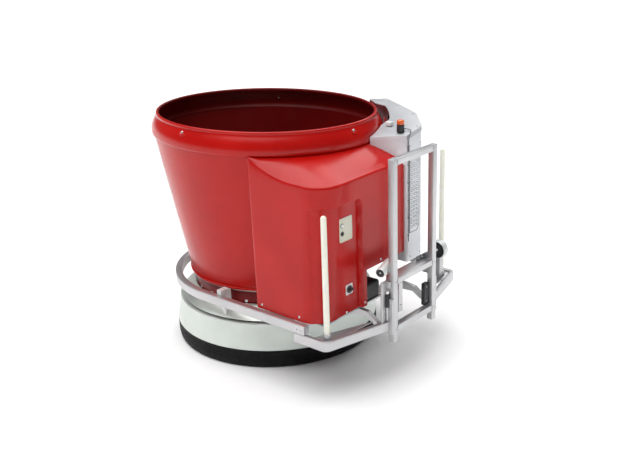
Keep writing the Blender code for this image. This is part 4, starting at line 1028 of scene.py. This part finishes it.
def make_vent():
    """A vent in the housing's front: a plate with rows of pressed louvres, on a black plate that shows round its edge
    as painted shadow, with dark strips of painted shade under the louvres.
    """
    low, high = place_of("vent_panel")
    shape = [(low.x, low.z), (high.x - 0.032, low.z), (high.x, low.z + 0.036), (high.x, high.z), (low.x, high.z)]
    middle = Vector(((low.x + high.x) / 2, (low.z + high.z) / 2))
    face = []
    for x, z in shape:
        toward = middle - Vector((x, z))
        face.append((x + copysign(0.006, toward.x), z + copysign(0.005, toward.y)))
    stand = Matrix.Translation((0, high.y, 0)) @ UPRIGHT
    # A black plate behind the vent, bigger than its face: painted shadow round the vent's edge.
    add("vent_shadow", moved(plate(shape, 0.0, 0.0012), stand), "black_plastic")
    louvres, slot_shades = [], []
    hood = [(y * 0.55, height * 0.9) for height, y in arc((0.0, 0.0), 0.0085, 0, 180, 8)]
    for row in range(VENT_ROWS):
        z = low.z + 0.052 + (high.z - low.z - 0.08) * row / (VENT_ROWS - 1)
        for column in range(VENT_COLUMNS):
            x = low.x + 0.03 + 0.036 * column
            hump = loft([[(end, -a, z + b) for a, b in hood] for end in (x - 0.0135, x + 0.0135)])
            louvres.append(moved(hump, Matrix.Translation((0, high.y - 0.0022, 0))))
            # A dark strip under each louvre: painted shade of its opening.
            slot_shades.append(box((x - 0.0125, high.y - 0.003, z - 0.0125), (x + 0.0125, high.y - 0.002, z - 0.0085)))
    sheet = moved(plate(face, 0.0, 0.0024, 0.0008), stand)
    add("vent_plate", [sheet] + louvres, "grey_paint", replaces=["vent_panel"], angle=40)
    add("vent_slot_shade", slot_shades, "motor_grey")


def make_beacon():
    """A beacon with a ribbed lens, its lead and the small white sensor beside it."""
    low, high = place_of("beacon_base")
    x, y = (low.x + high.x) / 2, (low.y + high.y) / 2
    stand = Matrix.Translation((x, y, 0))
    crown = ((0, 0), (0.0265, 0), (0.0285, -0.003), (0.029, -0.01), (0.0262, -0.012), (0.0262, -0.016))
    base = from_corner(0, high.z, (*crown, (0.029, -0.018)))
    base += from_corner(0, low.z, ((0.03, 0.006), (0.03, 0), (0, 0)))
    add("beacon_stand", moved(turned(base), stand), "black_plastic", replaces=["beacon_base"])
    low, high = place_of("beacon_lens")
    profile = from_corner(0, low.z, ((0.0262, 0), (0.0275, 0.002)))
    profile += from_corner(0, high.z, ((0.0275, -0.014), (0.025, -0.006), (0.015, -0.001), (0.001, 0)))
    rings = []
    for radius, height in profile:
        points = []
        for i, angle in enumerate(around(96)):
            r = radius * (1 - 0.025 * (i % 4 in (0, 1)))
            points.append((r * cos(angle), r * sin(angle), height))
        rings.append(points)
    add("beacon_glass", moved(loft(rings), stand), "orange_lens", replaces=["beacon_lens"], angle=60)
    make_beacon_lead(x, y, lid_height(x) + 0.004)
    low, high = place_of("feed_height_sensor")
    collar = turned(four(0.008, 0.012, high.z - 0.001, high.z + 0.002), 24, loop=True)
    stand = Matrix.Translation(((low.x + high.x) / 2, (low.y + high.y) / 2, 0))
    add("level_sensor", [box(low, high, 0.004), moved(collar, stand)], "white_plastic", replaces=["feed_height_sensor"])


def make_beacon_lead(x, y, base_z):
    """The lead over the lid's edge and down the housing's front, with its sleeve and its clips."""
    front = HOUSING_Y - 0.0075
    over = ((0.029, 0, 0.02), (0.042, -0.005, 0.018), (0.045, -0.032, 0.017), (0.038, -0.062, 0.016))
    down = ((0.015, 0.006, 0.01), (-0.005, -0.002, -0.008), (-0.018, 0, -0.04))
    route = [(x + a, y + b, base_z + c) for a, b, c in over]
    route += [(x + a, front + b, base_z + c) for a, b, c in down]
    route += [(x - 0.019, front, z) for z in (base_z - 0.12, 1.4, 1.2, 0.95)]
    wire("beacon_lead", smooth_run(route, 8), 0.0028, "black_plastic", replaces=["beacon_cable"])
    sleeve = turned([(0.0036, 0.0), (0.0066, 0.002), (0.007, 0.058), (0.0036, 0.06)], 24, loop=True)
    add("lead_sleeve", moved(sleeve, Matrix.Translation((x - 0.0188, front, base_z - 0.15))), "motor_grey")
    clips = []
    for z in (1.56, 1.42, 1.28, 1.14, 1.0):
        clips.append(box((x - 0.025, front - 0.004, z - 0.004), (x - 0.013, front + 0.0072, z + 0.004), 0.0018))
    add("lead_clips", clips, "motor_grey")


# ---- Carried-over nodes


def dress(name, finish):
    """Gives a CAD node its finish. Its shape stays."""
    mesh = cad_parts[name].data
    mesh.materials.clear()
    mesh.materials.append(FINISHES[finish])
    smooth(mesh, 35)


# CAD nodes that are shown as they are.
CARRIED = {
    "worn_steel": ("tub_floor", "auger"),
    "bare_steel": (
        *("lower_auger_knife", "upper_auger_knife", "left_drive_hub", "right_drive_hub"),
        *("left_castor_fork", "right_castor_fork", "door_frame", "discharge_door", "door_actuator_rod"),
    ),
    "motor_grey": ("auger_gear_motor", "skirt_drive_motor", "left_drive_motor", "right_drive_motor", "door_actuator"),
    "silver_paint": ("chassis_deck", "front_support"),
    "black_rubber": ("skirt_drive_roller", "left_guide_roller", "right_guide_roller"),
    "tyre_rubber": ("left_drive_tyre", "right_drive_tyre", "left_castor_wheel", "right_castor_wheel"),
    "sensor_shell": ("left_hoop_guide", "right_hoop_guide"),
    "black_plastic": ("battery_pack",),
    "grey_paint": ("control_box",),
}


# ---- Stage

CAMERA_PLACE = Vector((-5.17, -4.982, 3.394))
CAMERA_RIGHT = Vector((0.645, -0.764, -0.032))
CAMERA_UP = Vector((0.28, 0.197, 0.939))
CAMERA_LENS = 50.69
SOFTBOX_AXIS = (-0.12, 0.14, 0.98)
SOFTBOX_POWER = 3.05
SOFTBOX = (1.0, 1.0, 1.0)
SIDE_LIGHT_AXIS = (0.746, 0.172, 0.639)
SIDE_LIGHT = (0.85, 0.85, 0.85)
ROOM = (0.04, 0.04, 0.041)


def make_camera():
    back = CAMERA_RIGHT.cross(CAMERA_UP).normalized()
    right = CAMERA_UP.cross(back).normalized()
    up = back.cross(right)
    lens = bpy.data.cameras.new("camera")
    lens.lens = CAMERA_LENS
    lens.sensor_width = 36.0
    camera = new_object("camera", lens)
    matrix = Matrix((right, up, back)).transposed().to_4x4()
    camera.matrix_world = Matrix.Translation(CAMERA_PLACE + SHIFT) @ matrix
    bpy.context.scene.camera = camera


def lobe(tree, axis, stops):
    """Light of the surroundings round an axis. Stops are (cosine of the angle from it, colour)."""
    inputs = {0: node(tree, "TexCoord", {})["Generated"], 1: Vector(axis).normalized()}
    return ramp(tree, node(tree, "VectorMath", inputs, operation="DOT_PRODUCT")["Value"], stops)


def make_world():
    """A studio: a wide softbox overhead, a lamp at the back, a dim room and a white sweep behind."""
    world = bpy.data.worlds.new("studio")
    world.use_nodes = True
    tree = world.node_tree
    overhead = lobe(tree, SOFTBOX_AXIS, [(0.0, ROOM), (0.755, ROOM), (0.8, SOFTBOX), (1.0, SOFTBOX)])
    dark = (0, 0, 0)
    lamp = lobe(tree, SIDE_LIGHT_AXIS, [(0.0, dark), (0.945, dark), (0.96, SIDE_LIGHT), (1.0, SIDE_LIGHT)])
    both = {"Factor": 1.0, "A": overhead, "B": lamp}
    both = node(tree, "Mix", both, data_type="RGBA", blend_type="LIGHTEN")["Result"]
    seen = {"Factor": node(tree, "LightPath", {})["Is Camera Ray"], "A": both, "B": (*[1 / SOFTBOX_POWER] * 3, 1)}
    seen = node(tree, "Mix", seen, data_type="RGBA")["Result"]
    connect(tree, tree.nodes["Background"], {"Color": seen, "Strength": SOFTBOX_POWER})
    bpy.context.scene.world = world


def make_stage():
    bm = bmesh.new()
    bmesh.ops.create_grid(bm, x_segments=1, y_segments=1, size=80)
    floor = new_object("floor", to_mesh(bm))
    material, tree, shader = shader_tree("floor")
    tone = ramp(tree, noise(tree, 0.3, 4.0), [(0.3, (0.97, 0.97, 0.97)), (0.7, (0.99, 0.99, 0.99))])
    connect(tree, shader, {"Base Color": tone, "Roughness": 0.8, "Specular IOR Level": 0.1})
    floor.data.materials.append(material)
    make_world()
    bpy.context.scene.view_settings.view_transform = "Standard"


def main():
    make_finishes()
    make_tub()
    make_base()
    make_skirt()
    make_apron()
    make_hoop()
    make_corner_bars()
    make_ladder()
    make_rods()
    make_sensors()
    make_cover()
    make_cover_bolts()
    make_controls()
    make_housing()
    make_beacon()
    for finish, names in CARRIED.items():
        for name in names:
            dress(name, finish)
    make_camera()
    make_stage()


main()
